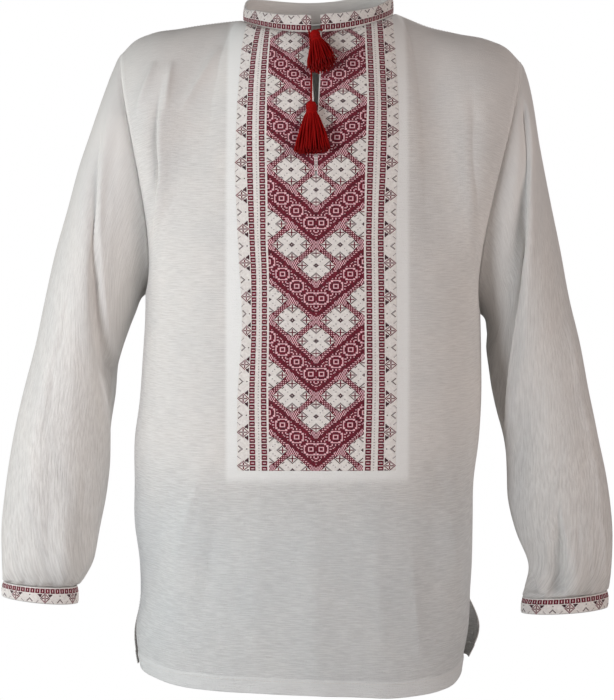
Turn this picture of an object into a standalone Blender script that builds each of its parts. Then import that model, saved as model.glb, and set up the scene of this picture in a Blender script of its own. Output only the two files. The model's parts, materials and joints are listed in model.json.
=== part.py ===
"""A worn embroidered linen shirt, hollow and open, built piece by piece as it is cut and sewn.

Every piece of cloth is a closed wall, made from rows of points that come from the tables
below. +X is the wearer's left, -Y is the front and +Z is up. The origin is the middle of
the neck opening, level with the shoulder seams. Tables are in millimetres.
"""

import math

import bpy
import numpy as np

MM = 0.001

# Cloth
LINEN = 1.6  # wall of one layer of linen
HEM_FOLD = 2.8  # wall where the hem is turned up
BAND = 2.6  # wall of the doubled collar and cuffs
SEAM_GAP = 0.3  # parting between two pieces at a seam
CORNER_GAP = 1.0  # how much further a corner stands back where three pieces meet

# Levels of the body
HEM_Z = -772.0
HEM_DEPTH = 18.0
SLIT_TOP_Z = -680.0  # top of the side slits
RIGHT_UNDERARM_Z = -322.0
LEFT_UNDERARM_Z = -345.0
BODY_ROUNDNESS = 2.5  # 2 is an ellipse, more is squarer
SIDE_Y = 8.0  # the side seams lie a little behind the middle

# Outline of the body, from the hem up: sides, front and back at each level
BODY = np.array(
    [
        # z, x of right side, x of left side, y of front, y of back
        (-772, -205, 178, -129, 102),
        (-725, -209, 182, -126, 105),
        (-680, -206, 181.5, -123, 106),
        (-636, -207, 184, -120, 104),
        (-589, -213, 185, -117, 98),
        (-542, -213, 186, -116, 91),
        (-495, -213, 192, -117, 87),
        (-448, -207, 195, -120, 86),
        (-400, -203.5, 195, -123, 88),
        (-353, -200.5, 194, -125, 92),
        (-302, -200, 193, -125, 96),
    ]
)

# How far the hem hangs above its plain level, across the front and the back
HEM_LIFT = np.array(
    [
        # share of the half width, lift of the front, lift of the back
        (-1.0, 17.0, 10.0),
        (-0.92, 13.5, 8.5),
        (-0.8, 8.6, 5.0),
        (-0.6, 5.6, 2.0),
        (-0.3, 4.2, 0.0),
        (0.0, 2.2, 0.0),
        (0.28, 0.0, 0.0),
        (0.45, -2.0, 0.0),
        (0.62, -1.4, 2.0),
        (0.8, 1.0, 7.0),
        (0.92, 5.0, 13.0),
        (1.0, 13.0, 18.0),
    ]
)

# Shoulder seams, from the neck out to the tip: how far each has come down
SHOULDER_Y = 6.0
SHOULDER_SHARE = (0, 0.25, 0.5, 0.75, 0.9, 1)
RIGHT_SHOULDER_Z = (0, -4, -9, -14.5, -24.5, -39.5)
LEFT_SHOULDER_Z = (8, -7, -15, -22, -32.5, -48.5)
RIGHT_TIP_X = -230.5
LEFT_TIP_X = 243.0

# Neck opening
NECK_X = 3.5
NECK_HALF_WIDTH = 88.5
NECK_Y = 6.0
NECK_FRONT = 72.0
NECK_BACK = 54.0
COLLAR_LEAN = 8.0  # how far the collar's top leans in at the front
COLLAR_RISE = np.array(
    [
        # degrees round from the front, height
        (-180, 26.0),
        (-125, 26.0),
        (-105, 24.0),
        (-88, 18.0),
        (-72, 16.2),
        (-58, 19.0),
        (-40, 20.0),
        (-22, 21.0),
        (0, 23.5),
        (13, 22.4),
        (30, 21.4),
        (50, 19.5),
        (65, 20.5),
        (82, 23.5),
        (105, 26.0),
        (180, 26.0),
    ]
)

# Slit down the middle of the front: half its width at each level
NECK_SLIT_BOTTOM_Z = -191.0
NECK_SLIT = np.array(
    [
        # z, half width
        (-772, 4.0),
        (-302, 4.0),
        (-215, 2.2),
        (-191, 0.6),
        (-150, 0.9),
        (-110, 2.6),
        (-70, 4.6),
        (-20, 5.5),
    ]
)

# Armholes: how far the front and back edges stand off the line from tip to underarm
ARMHOLE_FRONT = 60.0
ARMHOLE_BACK = 54.0
ARMHOLE_INWARD = 13.0

# Sleeves from armhole to cuff. Each ring runs from its outermost point to its innermost.
RIGHT_SLEEVE = np.array(
    [
        # outer x, outer z, inner x, inner z, middle y, half depth
        (-230.5, -39.5, -201, -322, 7, 48),
        (-246, -78, -207, -330, 6, 60),
        (-261, -122, -211, -340, 5, 70),
        (-277.5, -170, -217, -354, 5, 76),
        (-291.5, -222, -223, -370, 5, 77),
        (-306, -274, -230, -391, 4, 75),
        (-318, -328, -236, -417, 3, 72),
        (-329, -382, -237, -448, 1, 70),
        (-342, -434, -240.5, -484, -3, 68),
        (-353, -486, -242, -522, -8, 66),
        (-361, -540, -246, -560, -13, 63),
        (-366, -592, -253, -598, -17, 59),
        (-365, -634, -259, -632, -21, 52),
        (-363.5, -650, -269, -652, -24, 42),
        (-363, -657, -278, -663, -25, 33),
    ]
)
LEFT_SLEEVE = np.array(
    [
        # outer x, outer z, inner x, inner z, middle y, half depth
        (243, -48.5, 194, -345, 7, 48),
        (250.5, -80, 199, -352, 6, 60),
        (258.5, -118, 202, -361, 5, 70),
        (267, -165, 204, -373, 5, 76),
        (277, -216, 203, -389, 5, 77),
        (288, -270, 205.5, -410, 4, 75),
        (298, -325, 209, -436, 3, 72),
        (310.5, -380, 214, -465, 1, 70),
        (319.5, -432, 221, -496, -3, 68),
        (329.5, -486, 225, -530, -8, 66),
        (340, -540, 226.5, -566, -13, 63),
        (345.5, -592, 235, -602, -17, 59),
        (344, -638, 249, -638, -21, 52),
        (341.5, -658, 245, -664, -24, 42),
        (339, -668, 241.5, -676, -25, 34),
    ]
)
SLEEVE_ROWS = (0, 0.5, 1.1, 1.8, 2.6, 3.5, 4.4, 5.3, 6.2, 7.1, 8, 9, 10, 11, 12, 12.8, 13.5, 14)
ARMHOLE_REACH = 2.6  # rings over which the armhole's shape fades into the sleeve

# Cuffs: the ring at the lower edge
RIGHT_CUFF = (-364.5, -673.5, -277, -683, -26, 34)
LEFT_CUFF = (339, -687, 239, -694, -26, 35)

# Mesh: cells round an armhole, along a shoulder, along half a neckline and up the body
ARMHOLE_CELLS = 28
SHOULDER_CELLS = 6
NECK_CELLS = 9
BODY_CELLS = 13
COLLAR_ROWS = 3

# Soft folds of the front and back: a line down the panel, with its height and width
FRONT_FOLDS = (
    # x at top, z at top, x at bottom, z at bottom, height, half width
    (-178, -70, -186, -235, 9, 17),
    (-196, -110, -180, -290, -6, 14),
    (-120, -60, -150, -150, -4, 22),
    (178, -62, 176, -240, -8, 16),
    (150, -90, 158, -300, 6, 20),
    (-120, -500, -168, -720, 7, 24),
    (-176, -560, -186, -680, -6, 14),
    (128, -500, 140, -765, -7, 20),
    (160, -540, 152, -740, 6, 15),
)
BACK_FOLDS = (
    # x at top, z at top, x at bottom, z at bottom, height, half width
    (-150, -90, -120, -330, 7, 20),
    (148, -95, 112, -340, 7, 20),
    (-96, -360, -128, -740, 8, 24),
    (-30, -420, -44, -765, -6, 26),
    (44, -380, 40, -760, 7, 26),
    (112, -420, 128, -750, -6, 22),
)

# The deep fold of each sleeve: its angle round the ring, from the outside by way of the front
FOLD_RINGS = (0, 1, 2, 3, 4, 5, 6, 7, 8, 9, 14)
RIGHT_FOLD_ANGLE = (40, 52, 66, 78, 88, 105, 128, 150, 168, 178, 190)
LEFT_FOLD_ANGLE = (38, 46, 60, 72, 82, 97, 112, 135, 158, 176, 190)
FOLD_HEIGHT = (0, 3, 6, 9, 10, 10, 9, 7, 4, 1, 0)

# Smaller folds of the sleeves: a line from ring to ring, with its height and width in degrees
RIGHT_SLEEVE_FOLDS = (
    # ring, angle, ring, angle, height, half width
    (6, 62, 11, 74, 4, 13),
    (10, 112, 14, 128, 5, 13),
    (11, 40, 14, 34, 4, 12),
    (3, 236, 9, 214, 7, 18),
    (5, 290, 12, 276, 6, 18),
    (11, 232, 14, 244, 5, 14),
)
LEFT_SLEEVE_FOLDS = (
    # ring, angle, ring, angle, height, half width
    (5, 40, 13, 34, 4, 14),
    (11, 96, 14, 84, 7, 13),
    (11.5, 122, 14, 108, -6, 12),
    (3, 240, 9, 218, 7, 18),
    (5, 292, 12, 280, 6, 18),
    (11, 238, 14, 250, 5, 14),
)

# The tie cord: across the front, down from the neck seam, and out from the cloth
CORD_DIAMETER = 2.2
CORD_STEP = 5.0
TIE_CORD = (
    # x, down, out
    (-7.8, 3, 1.6),
    (-7.2, 13, 1.7),
    (-6.4, 27, 1.8),
    (-5.6, 45, 1.8),
    (-5.0, 68, 1.8),
    (-5.2, 86, 2.4),
)

# Tassels: where the head starts and the skirt ends, as x, down and out from the cloth
UPPER_TASSEL = ((-2.0, 18, 10.5), (7.5, 68, 13.0))
LOWER_TASSEL = ((-5.3, 101.5, 7.8), (-4.0, 161, 10.5))
UPPER_SKIRT = (31, 15, -0.13)  # width, depth, and how much longer on the wearer's left
LOWER_SKIRT = (43, 16, -0.02)
UPPER_LOOP = ((6.9, 5, 1.8), (5.6, 9, 4.2), (2.4, 13.5, 7.6))
STRANDS = 40
STRAND_RADIUS = 1.0
HEAD_PROFILE = (
    # down, radius
    (0, 1.6),
    (1.4, 4.6),
    (5.0, 5.8),
    (9.0, 5.1),
    (10.6, 5.0),
    (13.4, 6.4),
    (15.0, 6.6),
)
GOLDEN_ANGLE = math.radians(137.508)


def smooth_curve(at, values):
    """A function that reads a smooth curve through the rows of a table."""
    at, values = np.asarray(at, float), np.asarray(values, float)
    slopes = np.gradient(values, at, axis=0)

    def read(t):
        t = np.clip(np.asarray(t, float), at[0], at[-1])
        row = np.clip(np.searchsorted(at, t) - 1, 0, len(at) - 2)
        step = at[row + 1] - at[row]
        share = (t - at[row]) / step
        if values.ndim > 1:
            share, step = share[..., None], step[..., None]
        a, b = share**2 * (3 - 2 * share), share * (1 - share)
        ends = values[row] * (1 - a) + values[row + 1] * a
        return ends + step * b * (slopes[row] * (1 - share) - slopes[row + 1] * share)

    return read


def ease(share):
    """Goes from 0 to 1 with no corner at either end."""
    share = np.clip(share, 0, 1)
    return share**2 * (3 - 2 * share)


body_outline = smooth_curve(BODY[:, 0], BODY[:, 1:])
neck_slit = smooth_curve(NECK_SLIT[:, 0], NECK_SLIT[:, 1])
collar_rise = smooth_curve(COLLAR_RISE[:, 0], COLLAR_RISE[:, 1])
hem_lifts = {side: smooth_curve(HEM_LIFT[:, 0], HEM_LIFT[:, column]) for side, column in ((-1, 1), (1, 2))}


def neckline(turn, share=0.0):
    """A point on the neck opening, turn degrees round from the front, or that share up the collar."""
    side, ahead = math.sin(math.radians(turn)), math.cos(math.radians(turn))
    lean = COLLAR_LEAN * share
    depth = NECK_FRONT - lean if ahead > 0 else NECK_BACK - 0.3 * lean
    return (
        NECK_X + (NECK_HALF_WIDTH - 0.2 * lean) * side,
        NECK_Y - depth * ahead,
        4 - 17 * ahead - 14 * ahead**2 + 4 * side + share * float(collar_rise(turn)),
    )


def shoulder_seam(hand, share):
    """A point on a shoulder seam, from the neck at 0 to the tip at 1. hand is -1 for the right."""
    start = NECK_X + hand * NECK_HALF_WIDTH
    tip = RIGHT_TIP_X if hand < 0 else LEFT_TIP_X
    drop = smooth_curve(SHOULDER_SHARE, RIGHT_SHOULDER_Z if hand < 0 else LEFT_SHOULDER_Z)
    return (start + (tip - start) * share, SHOULDER_Y, float(drop(share)))


def armhole_height(angle):
    """Height on an armhole: 1 at the tip, -1 at the underarm, a little pointed at both."""
    down = min(angle, 360 - angle) / 90
    return 0.6 * math.cos(math.radians(angle)) + 0.4 * (1 - down)


def armhole(hand, angle):
    """A point on an armhole: the tip at 0 degrees, the front at 90, the underarm at 180."""
    tip = np.array(shoulder_seam(hand, 1))
    low = RIGHT_UNDERARM_Z if hand < 0 else LEFT_UNDERARM_Z
    right, left = body_outline(low)[:2]
    underarm = np.array((right if hand < 0 else left, SIDE_Y, low))
    turn = math.radians(angle)
    low = max(0.0, math.sin(turn) * (1 - math.cos(turn)) / 1.3)
    bulge = -ARMHOLE_FRONT if angle < 180 else ARMHOLE_BACK
    middle, half = (tip + underarm) / 2, (tip - underarm) / 2
    point = middle + half * armhole_height(angle)
    point[1] += bulge * abs(math.sin(turn))
    point[0] -= hand * ARMHOLE_INWARD * low
    return point


def columns(side, neck_cells):
    """The columns of the front (side -1) or back (1): share of the half width, and top point."""
    made = []
    neck_share = 0.64
    edge = {-1: 5.5, 1: 1.5} if side < 0 else {-1: 0, 1: 0}
    for hand in (-1, 1):
        half = []
        for i in range(SHOULDER_CELLS + 1):
            out = 1 - i / SHOULDER_CELLS
            angle = math.asin(neck_share ** (BODY_ROUNDNESS / 2))
            angle += (math.pi / 2 - angle) * out
            half.append((math.sin(angle) ** (2 / BODY_ROUNDNESS), out, shoulder_seam(hand, out)))
        for i in range(1, neck_cells + 1):
            turn = 90 - (90 - edge[hand]) * i / neck_cells
            even = 0.5 * (1 - i / neck_cells) + 0.5 * math.sin(math.radians(turn))
            along = turn if side < 0 else 180 - turn
            half.append((neck_share * even, 0.0, neckline(hand * along)))
        rows = [(hand * share, out, top) for share, out, top in half]
        if hand > 0:
            rows.reverse()
            if side > 0:
                rows = rows[1:]
        made += rows
    return made


def body_levels():
    """Middle height and tilt of the rows below the underarms, from the hem up."""
    chest, tilt = (RIGHT_UNDERARM_Z + LEFT_UNDERARM_Z) / 2, (LEFT_UNDERARM_Z - RIGHT_UNDERARM_Z) / 2
    above = np.linspace(HEM_Z + HEM_DEPTH + 1.5, chest, BODY_CELLS - 1)
    levels = np.concatenate([[HEM_Z, HEM_Z + HEM_DEPTH], above])
    return [(z, tilt * max(0.0, (z - SLIT_TOP_Z) / (chest - SLIT_TOP_Z)) ** 2) for z in levels]


def slit_spread(side, hand, z):
    """How far a panel's edge moves (out, back) below the top of its side slit."""
    down = ease((SLIT_TOP_Z - z) / (SLIT_TOP_Z - HEM_Z))
    swell = math.sin(math.pi * min(1.0, max(0.0, (SLIT_TOP_Z - z) / (SLIT_TOP_Z - HEM_Z))))
    if side < 0:
        return (-8.0 * down if hand > 0 else 2.0 * swell - 1.0 * down, -10.0 * down)
    return (4.0 * down + 11.0 * swell if hand > 0 else 6.0 * down + 3.0 * swell, 9.0 * down)


def lower_row(side, shares, level, tilt):
    """One row of the front or back, below the underarms."""
    shares = np.array(shares)
    heights = level + tilt * shares
    right, left, front, back = body_outline(heights).T
    bow = (1 - np.abs(shares) ** BODY_ROUNDNESS) ** (1 / BODY_ROUNDNESS)
    reach = (front if side < 0 else back) - SIDE_Y
    across = (right + left) / 2 * np.abs(shares) ** 1.5 + (left - right) / 2 * shares
    row = np.stack([across, SIDE_Y + reach * bow, heights], 1)
    row[:, 2] += hem_lifts[side](shares) * max(0.0, (SLIT_TOP_Z - level) / (SLIT_TOP_Z - HEM_Z))
    for hand in (-1, 1):
        out, backward = slit_spread(side, hand, level)
        near = ease((hand * shares - 0.55) / 0.45)
        row[:, 0] += hand * out * near
        row[:, 1] += backward * near
    return row


def panel_points(side, neck_cells):
    """The rows of points of the front or back, from the hem to the shoulders and neck."""
    cols = columns(side, neck_cells)
    shares = [c[0] for c in cols]
    rows = [lower_row(side, shares, level, tilt) for level, tilt in body_levels()]
    chest = rows[-1]
    tops = np.array([c[2] for c in cols])
    to_edge = ease(np.array([c[1] for c in cols]))
    steps = ARMHOLE_CELLS // 2
    blunt = 2 + (0.8 * ease(np.abs(tops[:, 0]) / NECK_HALF_WIDTH) if side > 0 else 0)
    for k in range(1, steps + 1):
        at_edge = (1 + armhole_height(180 * (1 - k / steps))) / 2
        inside = math.sin(math.pi * k / steps / 2)
        rise = to_edge * at_edge + (1 - to_edge) * inside
        over = 1 - np.maximum(0.0, 1 - rise**blunt) ** (1 / blunt)
        across = to_edge * rise + (1 - to_edge) * over
        row = chest + (tops - chest) * np.stack([across, over, rise], 1)
        if side > 0:
            row[:, 1] += 10 * np.sin(math.pi * rise) * (1 - to_edge)
        for hand, corner in ((-1, 0), (1, -1)):
            angle = 180 * (1 - k / steps)
            edge = armhole(hand, angle if side < 0 else 360 - angle) - row[corner]
            near = to_edge * (np.sign(shares) == hand)
            row += near[:, None] * edge
        rows.append(row)
    rows = np.array(rows)
    if side < 0:
        open_slit(rows, cols)
    return rows


def open_slit(rows, cols):
    """Puts the two middle columns of the front on the edges of the neck slit."""
    shares = np.array([c[0] for c in cols])
    for hand in (-1, 1):
        column = int(np.argmin(np.where(np.sign(shares + hand * 1e-9) == hand, abs(shares), 9)))
        rows[:, column, 0] = hand * neck_slit(rows[:, column, 2])


def line_height(across, along, folds):
    """Sum of the soft ridges and troughs of a fold table at one point of a piece."""
    total = 0.0
    for a0, b0, a1, b1, height, width in folds:
        run = (a1 - a0, b1 - b0)
        share = ((across - a0) * run[0] + (along - b0) * run[1]) / (run[0] ** 2 + run[1] ** 2)
        near = min(1.0, max(0.0, share))
        gap = math.hypot(across - a0 - near * run[0], along - b0 - near * run[1])
        total += height * math.exp(-((gap / width) ** 2)) * math.sin(math.pi * near) ** 0.7
    return total


def sleeve_points(hand):
    """The rings of one sleeve, from the armhole down to the cuff."""
    table = RIGHT_SLEEVE if hand < 0 else LEFT_SLEEVE
    read = smooth_curve(range(len(table)), table)
    end = ring_points(read(ARMHOLE_REACH))
    end_run = (ring_points(read(ARMHOLE_REACH + 0.1)) - end) * 10 * ARMHOLE_REACH
    seam = np.array([armhole(hand, 360 * j / ARMHOLE_CELLS) for j in range(ARMHOLE_CELLS)])
    turn = np.arange(ARMHOLE_CELLS) * 2 * math.pi / ARMHOLE_CELLS
    top = np.maximum(0, np.cos(turn)) ** 2
    out, down = (0.75 - 0.27 * top) * hand, -0.25 - 0.45 * np.cos(turn) ** 2 - 0.08 * top
    start_run = np.stack([out, -0.5 * np.sin(turn), down], 1) * (62 + 28 * np.cos(turn))[:, None]
    rows = []
    for ring in SLEEVE_ROWS:
        if ring >= ARMHOLE_REACH:
            rows.append(ring_points(read(ring)))
            continue
        t = ring / ARMHOLE_REACH
        blend = ease(t)
        row = seam * (1 - blend) + end * blend
        rows.append(row + start_run * t * (1 - t) ** 2 - end_run * t * t * (1 - t))
    return np.array(rows)


def ring_points(ring):
    """An oval ring from (outer x, outer z, inner x, inner z, middle y, half depth)."""
    outer_x, outer_z, inner_x, inner_z, y, depth = ring
    turn = np.arange(ARMHOLE_CELLS) * 2 * math.pi / ARMHOLE_CELLS
    return np.stack(
        [
            (outer_x + inner_x) / 2 + (outer_x - inner_x) / 2 * np.cos(turn),
            y - depth * np.sin(turn),
            (outer_z + inner_z) / 2 + (outer_z - inner_z) / 2 * np.cos(turn),
        ],
        1,
    )


def sleeve_fold(hand, ring, angle):
    """Height of the sleeve's folds: the deep fold laps over what lies inside it."""
    turns = smooth_curve(FOLD_RINGS, RIGHT_FOLD_ANGLE if hand < 0 else LEFT_FOLD_ANGLE)
    height = float(smooth_curve(FOLD_RINGS, FOLD_HEIGHT)(ring))
    past = angle - float(turns(ring))
    if past < 0:
        lap = 0.5 * math.exp(-((past / 34) ** 2))
    else:
        lap = 0.5 - 1.5 * float(ease(past / 26)) + float(ease((past - 30) / 60))
    table = RIGHT_SLEEVE_FOLDS if hand < 0 else LEFT_SLEEVE_FOLDS
    per_ring = 12  # a ring's spacing, in degrees of turn, for measuring a slanting fold
    folds = [(a0, r0 * per_ring, a1, r1 * per_ring, h, w) for r0, a0, r1, a1, h, w in table]
    return height * lap + line_height(angle, ring * per_ring, folds)


def panel_folds(points, folds):
    """Fold heights of the front or back, none at its seams."""
    heights = np.zeros(points.shape[:2])
    last_row, last_column = points.shape[0] - 1, points.shape[1] - 1
    for i, j in np.ndindex(heights.shape):
        x, _, z = points[i, j]
        to_side = min(j, last_column - j) / 2
        to_top = (last_row - i) / 3
        heights[i, j] = line_height(x, z, folds) * float(ease(min(to_side, to_top, 1)))
    return heights


def sleeve_folds(points, hand):
    """Fold heights of a sleeve, none at its seams."""
    heights = np.zeros(points.shape[:2])
    for i, j in np.ndindex(heights.shape):
        ring = SLEEVE_ROWS[i]
        to_seam = min(ring / 1.5, (SLEEVE_ROWS[-1] - ring) / 0.8, 1)
        heights[i, j] = sleeve_fold(hand, ring, 360 * j / ARMHOLE_CELLS) * float(ease(to_seam))
    return heights


def cuff_points(hand):
    """The rings of a cuff, from the sleeve seam to the wrist."""
    top = (RIGHT_SLEEVE if hand < 0 else LEFT_SLEEVE)[-1]
    low = np.array(RIGHT_CUFF if hand < 0 else LEFT_CUFF)
    return np.array([ring_points(top + (low - top) * share) for share in (0, 0.5, 1)])


def collar_points(front, back):
    """The rows of the standing collar, from the slit's right edge round the back to its left."""
    front, back = front[-1, SHOULDER_CELLS:-SHOULDER_CELLS], back[-1, SHOULDER_CELLS:-SHOULDER_CELLS]
    half = len(front) // 2
    seam = np.concatenate([front[:half][::-1], back[1:-1], front[half:][::-1]])
    rows = [seam]
    for i in range(1, COLLAR_ROWS + 1):
        row = [neckline(turn_of(point), i / COLLAR_ROWS) for point in seam]
        row[0] = (seam[0, 0], *row[0][1:])
        row[-1] = (seam[-1, 0], *row[-1][1:])
        rows.append(np.array(row))
    return np.array(rows)


def turn_of(point):
    """How far round the neck a point of its seam lies, in degrees from the front."""
    depth = NECK_FRONT if point[1] < NECK_Y else NECK_BACK
    side, ahead = (point[0] - NECK_X) / NECK_HALF_WIDTH, (NECK_Y - point[1]) / depth
    return math.degrees(math.atan2(side, ahead))


class Cloth:
    """A piece of cloth: its rows of outer points, and which way it closes and faces.

    Its edges turn a corner at side_corner, a row, and at top_corners, columns of the last row.
    """

    def __init__(self, part, points, flip=False, skip=None, side_corner=None, top_corners=()):
        self.part = part
        self.points = points
        self.round_piece = part in ("sleeve", "cuff")
        self.flip = flip
        self.skip = skip or (lambda i, j: False)
        self.side_corner = side_corner
        self.top_corners = top_corners

    def cells(self):
        """Each cell of the grid as the four index pairs of its corners, facing outwards."""
        rows, cols = self.points.shape[:2]
        for i in range(rows - 1):
            for j in range(cols if self.round_piece else cols - 1):
                if self.skip(i, j):
                    continue
                right = (j + 1) % cols
                cell = [(i, j), (i, right), (i + 1, right), (i + 1, j)]
                yield cell[::-1] if self.flip else cell


def key_of(point):
    """A point's place to a hundredth of a millimetre, to find the pieces that meet there."""
    return tuple(np.round(point * 100).astype(int))


def face_directions(pieces):
    """Sets each piece's own outward direction at each point, and the one shared at its seams.

    A wall reaches further along the shared direction where the seam is sharp.
    """
    shared = {}
    for piece in pieces.values():
        own = np.zeros_like(piece.points)
        for cell in piece.cells():
            a, b, c, d = (piece.points[k] for k in cell)
            for k in cell:
                own[k] += np.cross(c - a, d - b)
        piece.own = own / np.linalg.norm(own, axis=-1, keepdims=True)
        for k in np.ndindex(piece.points.shape[:2]):
            meeting = shared.setdefault(key_of(piece.points[k]), {})
            meeting[piece.part] = meeting.get(piece.part, 0) + piece.own[k]
    for piece in pieces.values():
        piece.normals = np.zeros_like(piece.points)
        piece.reach = np.ones((*piece.points.shape[:2], 1))
        for k in np.ndindex(piece.points.shape[:2]):
            meeting = shared[key_of(piece.points[k])].values()
            total = sum(facing / np.linalg.norm(facing) for facing in meeting)
            piece.normals[k] = total / np.linalg.norm(total)
            piece.reach[k] = 1 / max(0.5, np.linalg.norm(total) / len(meeting))


def part_seams(piece, points):
    """Moves the outermost points away from the seam's plane by half the seam gap."""
    moved = points.copy()
    rows, cols = points.shape[:2]
    for edge, inner in ((0, 1), (rows - 1, rows - 2)):
        turns = [0, *(piece.top_corners if edge else ()), cols - 1]
        for a, b in zip(turns, turns[1:]):
            run = (edge, slice(a, b + 1))
            moved[run] += off_seam(piece, points, run, (inner, slice(a, b + 1)))
    if piece.round_piece:
        return moved
    for edge, inner in ((0, 1), (cols - 1, cols - 2)):
        turns = [0, piece.side_corner, rows - 1] if piece.side_corner else [0, rows - 1]
        for a, b in zip(turns, turns[1:]):
            run = (slice(a, b + 1), edge)
            moved[run] += off_seam(piece, points, run, (slice(a, b + 1), inner))
        for corner, beside in (((rows - 1, edge), (rows - 2, inner)), ((turns[1], edge), (turns[1], inner))):
            moved[corner] += towards(points[corner], points[beside])
    for column in piece.top_corners:
        moved[-1, column] += towards(points[-1, column], points[-2, column])
    return moved


def towards(start, end):
    """A step from a corner into its piece."""
    return (end - start) / np.linalg.norm(end - start) * CORNER_GAP


def off_seam(piece, points, run, inner):
    """Half the seam gap, square to the seam and to the shared direction, for each point."""
    line, own, shared = points[run], piece.own[run], piece.normals[run]
    if piece.round_piece:
        along = np.roll(line, -1, 0) - np.roll(line, 1, 0)
    else:
        along = np.gradient(line, axis=0)
    into = np.cross(along, own)
    into *= np.sign(np.sum(into * (points[inner] - line)))
    across = np.cross(along, shared)
    across /= np.linalg.norm(across, axis=-1, keepdims=True)
    return across * np.sign(np.sum(across * into, axis=-1, keepdims=True)) * SEAM_GAP / 2


def material(name, color, roughness):
    """A plain finish for one kind of cloth."""
    made = bpy.data.materials.new(name)
    made.use_nodes = True
    shader = made.node_tree.nodes["Principled BSDF"]
    shader.inputs["Base Color"].default_value = (*color, 1)
    shader.inputs["Roughness"].default_value = roughness
    return made


def add_object(name, vertices, faces, finish):
    """A mesh object from points in millimetres."""
    mesh = bpy.data.meshes.new(name)
    mesh.from_pydata([tuple(float(c) * MM for c in v) for v in vertices], [], faces)
    mesh.materials.append(finish)
    mesh.shade_smooth()
    mesh.set_sharp_from_angle(angle=math.radians(50))
    thing = bpy.data.objects.new(name, mesh)
    bpy.context.scene.collection.objects.link(thing)
    return thing


def sew(name, piece, thickness, finish):
    """A closed wall: the outer points, the same points moved in, and a rim on each open edge."""
    thickness = np.broadcast_to(thickness, piece.points.shape[:1])[:, None, None]
    outer = part_seams(piece, piece.points)
    inner = part_seams(piece, piece.points - piece.normals * piece.reach * thickness)
    used, faces, edges = {}, [], set()
    for cell in piece.cells():
        ids = [used.setdefault(k, len(used)) for k in cell]
        edges.update(zip(ids, ids[1:] + ids[:1]))
        a, b, c, d = ids
        p, q, r, s = (outer[k] for k in cell)
        if np.linalg.norm(r - p) < np.linalg.norm(s - q):
            faces += [[a, b, c], [a, c, d]]
        else:
            faces += [[a, b, d], [b, c, d]]
    count = len(used)
    faces += [[i + count for i in reversed(face)] for face in faces]
    faces += [[b, a, a + count, b + count] for a, b in sorted(edges) if (b, a) not in edges]
    order = sorted(used, key=used.get)
    return add_object(name, [outer[k] for k in order] + [inner[k] for k in order], faces, finish)


def places_on(front):
    """A function for points over the front: x, how far down from the neck seam, and how far out."""
    column = front.points[::-1, front.points.shape[1] // 2, 1:]
    steps = np.linalg.norm(np.diff(column, axis=0), axis=1)
    read = smooth_curve(np.concatenate([[0], np.cumsum(steps)]), column)

    def place(x, down, out):
        y, z = read(down)
        run = read(down + 1) - read(down - 1 if down > 1 else down)
        run /= np.linalg.norm(run)
        return np.array([x, y + run[1] * out, z - run[0] * out])

    return place


def cord(name, route, finish):
    """A round cord along a smooth curve through hand-placed points, with closed ends."""
    route = np.array(route, float)
    steps = np.linalg.norm(np.diff(route, axis=0), axis=1)
    along = np.concatenate([[0], np.cumsum(steps)])
    count = max(6, round(along[-1] / CORD_STEP))
    points = smooth_curve(along, route)(np.linspace(0, along[-1], count + 1))
    line = bpy.data.curves.new(name, "CURVE")
    line.dimensions = "3D"
    line.bevel_depth = CORD_DIAMETER / 2 * MM
    line.bevel_resolution = 2
    line.use_fill_caps = True
    spline = line.splines.new("POLY")
    spline.points.add(len(points) - 1)
    for target, point in zip(spline.points, points):
        target.co = (*(point * MM), 1)
    line.materials.append(finish)
    thing = bpy.data.objects.new(name, line)
    bpy.context.scene.collection.objects.link(thing)
    return thing


def head_mesh(name, rings, finish):
    """The wound head of a tassel: rings of (centre, axis, radius), closed at both ends."""
    sides = 12
    vertices, faces = [], []
    for centre, axis, radius in rings:
        across, ahead = frame_of(axis)
        for k in range(sides):
            turn = 2 * math.pi * k / sides
            spoke = across * math.cos(turn) + ahead * math.sin(turn)
            vertices.append(centre + radius * spoke)
    last = len(rings) - 1
    for i in range(last):
        for k in range(sides):
            a, b = i * sides + k, i * sides + (k + 1) % sides
            faces.append([a, b, b + sides, a + sides])
    faces.append(list(range(sides))[::-1])
    faces.append([last * sides + k for k in range(sides)])
    return add_object(name, vertices, faces, finish)


def frame_of(axis):
    """Two directions square to an axis: across the chest, and in towards it."""
    across = np.array([1.0, 0.0, 0.0]) - axis * axis[0]
    across /= np.linalg.norm(across)
    return across, np.cross(axis, across)


def tassel(name, ends, skirt, loop, finish):
    """A tassel whose strands are fused into its head. loop is the cord that it ends."""
    top, tip = ends
    length = np.linalg.norm(tip - top)
    axis = (tip - top) / length
    rings = []
    for i, point in enumerate(loop):
        ahead = loop[i + 1] if i + 1 < len(loop) else top
        run = ahead - point
        rings.append((point, run / np.linalg.norm(run), CORD_DIAMETER / 2))
    rings += [(top + axis * down, axis, radius) for down, radius in HEAD_PROFILE]
    head = head_mesh(name, rings, finish)
    strands = add_object(name + "_strands", *strand_mesh(top, axis, length, skirt), finish)
    strands.hide_render = True
    strands.display_type = "WIRE"
    fuse = head.modifiers.new("fuse strands", "BOOLEAN")
    fuse.operation = "UNION"
    fuse.object = strands
    return head


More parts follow.
